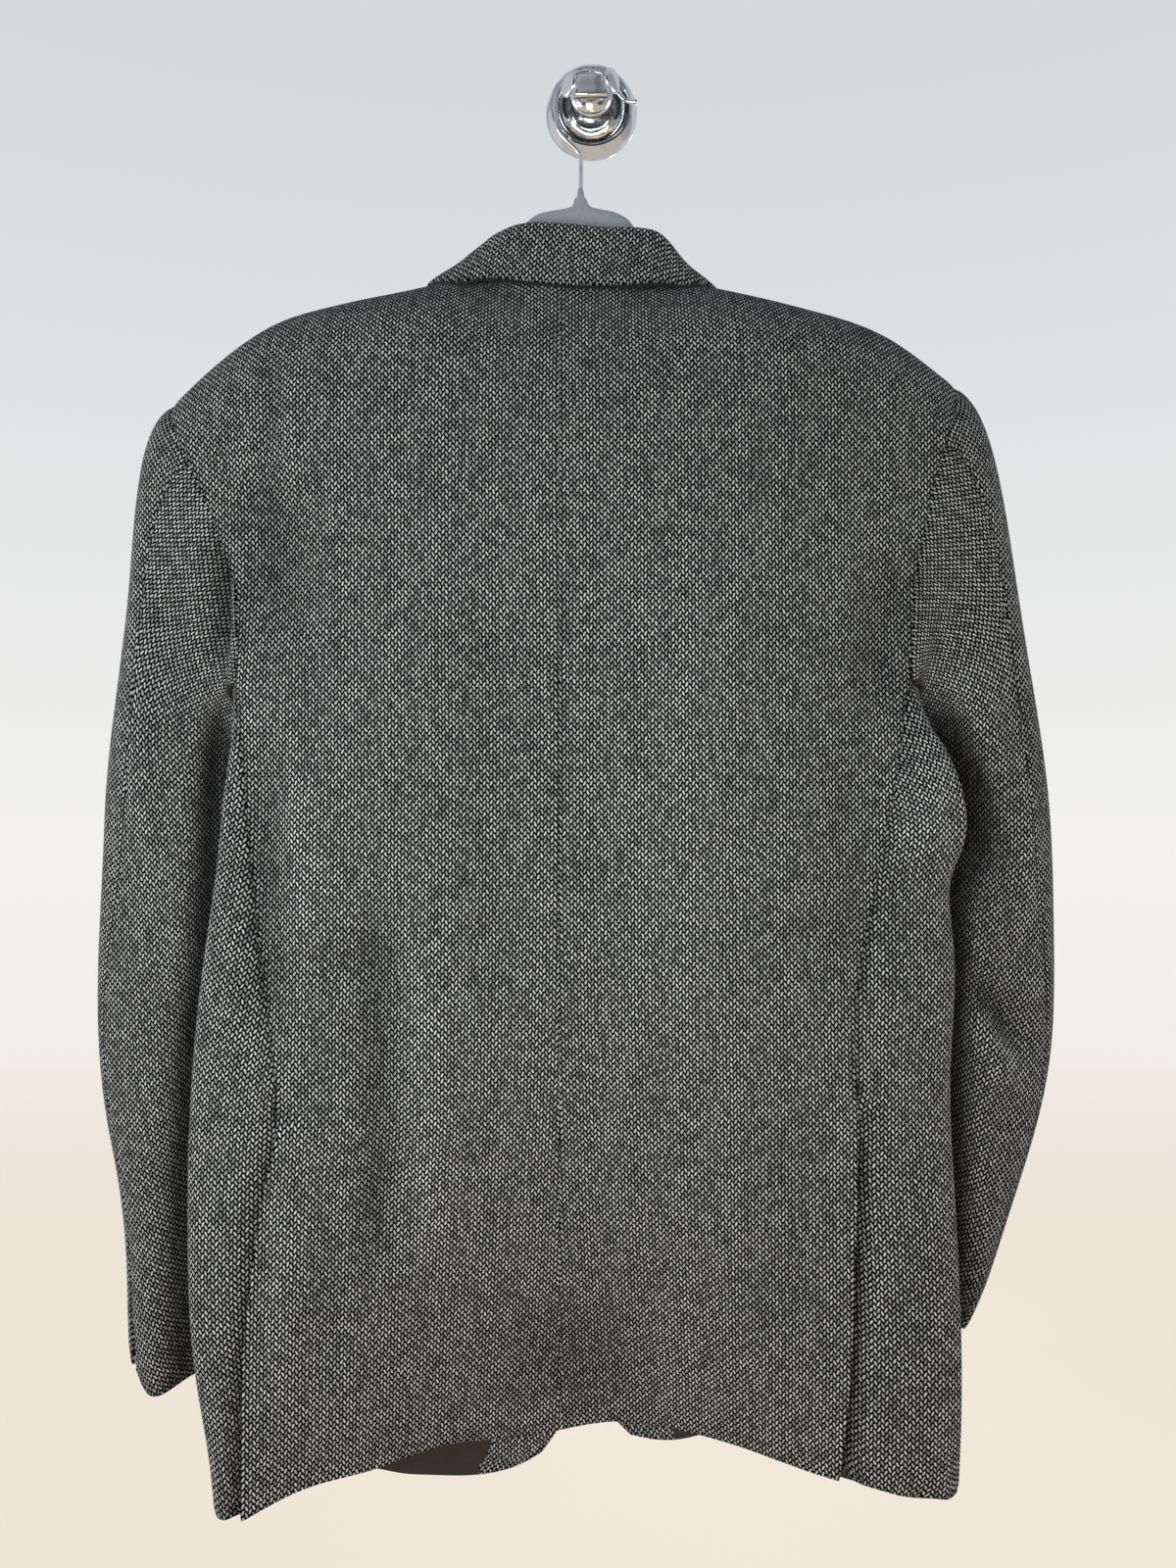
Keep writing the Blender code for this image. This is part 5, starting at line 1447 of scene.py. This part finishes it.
class BLAZER_OT_stage(bpy.types.Operator):
    """Sets the camera, the lamps and the pale floor"""

    bl_idname = "blazer.stage"
    bl_label = "Stage"

    def execute(self, context):
        scene, stage = context.scene, context.scene.blazer_stage
        plain_selection()
        bpy.ops.object.camera_add(location=stage.eye, rotation=(pi / 2, 0, 0))
        camera = context.object
        camera.name = "camera"
        camera.data.lens = stage.lens
        camera.data.sensor_width = SENSOR
        camera.data.sensor_fit = "AUTO"
        camera.data.clip_start = 0.01
        scene.camera = camera
        scene.view_settings.view_transform = "Standard"
        scene.world = scene.world or bpy.data.worlds.new("Studio")
        scene.world.name = "Studio"
        paint_room(scene.world)
        for name, (place, size, power, colour) in LAMPS.items():
            bpy.ops.object.light_add(type="AREA", location=place)
            lamp = context.object
            lamp.name = name
            lamp.data.size = size
            lamp.data.energy = power
            lamp.data.color = colour
            lamp.rotation_euler = (Vector(LIT) - Vector(place)).to_track_quat("-Z", "Y").to_euler()
        plain_selection()
        bpy.ops.mesh.primitive_plane_add(size=FLOOR_SIZE, location=(0, 0, stage.floor))
        floor = context.object
        floor.name = "floor"
        floor.data.materials.append(pale_floor())
        return {"FINISHED"}


PIECES = (
    BLAZER_OT_body,
    BLAZER_OT_fronts,
    BLAZER_OT_sleeves,
    BLAZER_OT_collar,
    BLAZER_OT_lapels,
    BLAZER_OT_linings,
    BLAZER_OT_pockets,
    BLAZER_OT_buttons,
    BLAZER_OT_hanger,
    BLAZER_OT_wire_hook,
    BLAZER_OT_robe_hook,
    BLAZER_OT_stage,
)


class BLAZER_PT_pieces(bpy.types.Panel):
    """The blazer's pieces and sizes"""

    bl_label = "Blazer"
    bl_idname = "BLAZER_PT_pieces"
    bl_space_type = "VIEW_3D"
    bl_region_type = "UI"
    bl_category = "Blazer"

    def draw(self, context):
        scene = context.scene
        for settings in (scene.blazer_tweed, scene.blazer_fittings, scene.blazer_stage):
            box = self.layout.box()
            for name in settings.__annotations__:
                box.prop(settings, name)
        for piece in PIECES:
            self.layout.operator(piece.bl_idname)


CLASSES = (TweedSettings, FittingSettings, StageSettings, *PIECES, BLAZER_PT_pieces)


def register():
    for made in CLASSES:
        bpy.utils.register_class(made)
    bpy.types.Scene.blazer_tweed = bpy.props.PointerProperty(type=TweedSettings)
    bpy.types.Scene.blazer_fittings = bpy.props.PointerProperty(type=FittingSettings)
    bpy.types.Scene.blazer_stage = bpy.props.PointerProperty(type=StageSettings)


def unregister():
    for name in ("blazer_tweed", "blazer_fittings", "blazer_stage"):
        delattr(bpy.types.Scene, name)
    for made in reversed(CLASSES):
        bpy.utils.unregister_class(made)


def main():
    register()
    for piece in PIECES:
        group, name = piece.bl_idname.split(".")
        getattr(getattr(bpy.ops, group), name)()


if __name__ == "__main__":
    main()
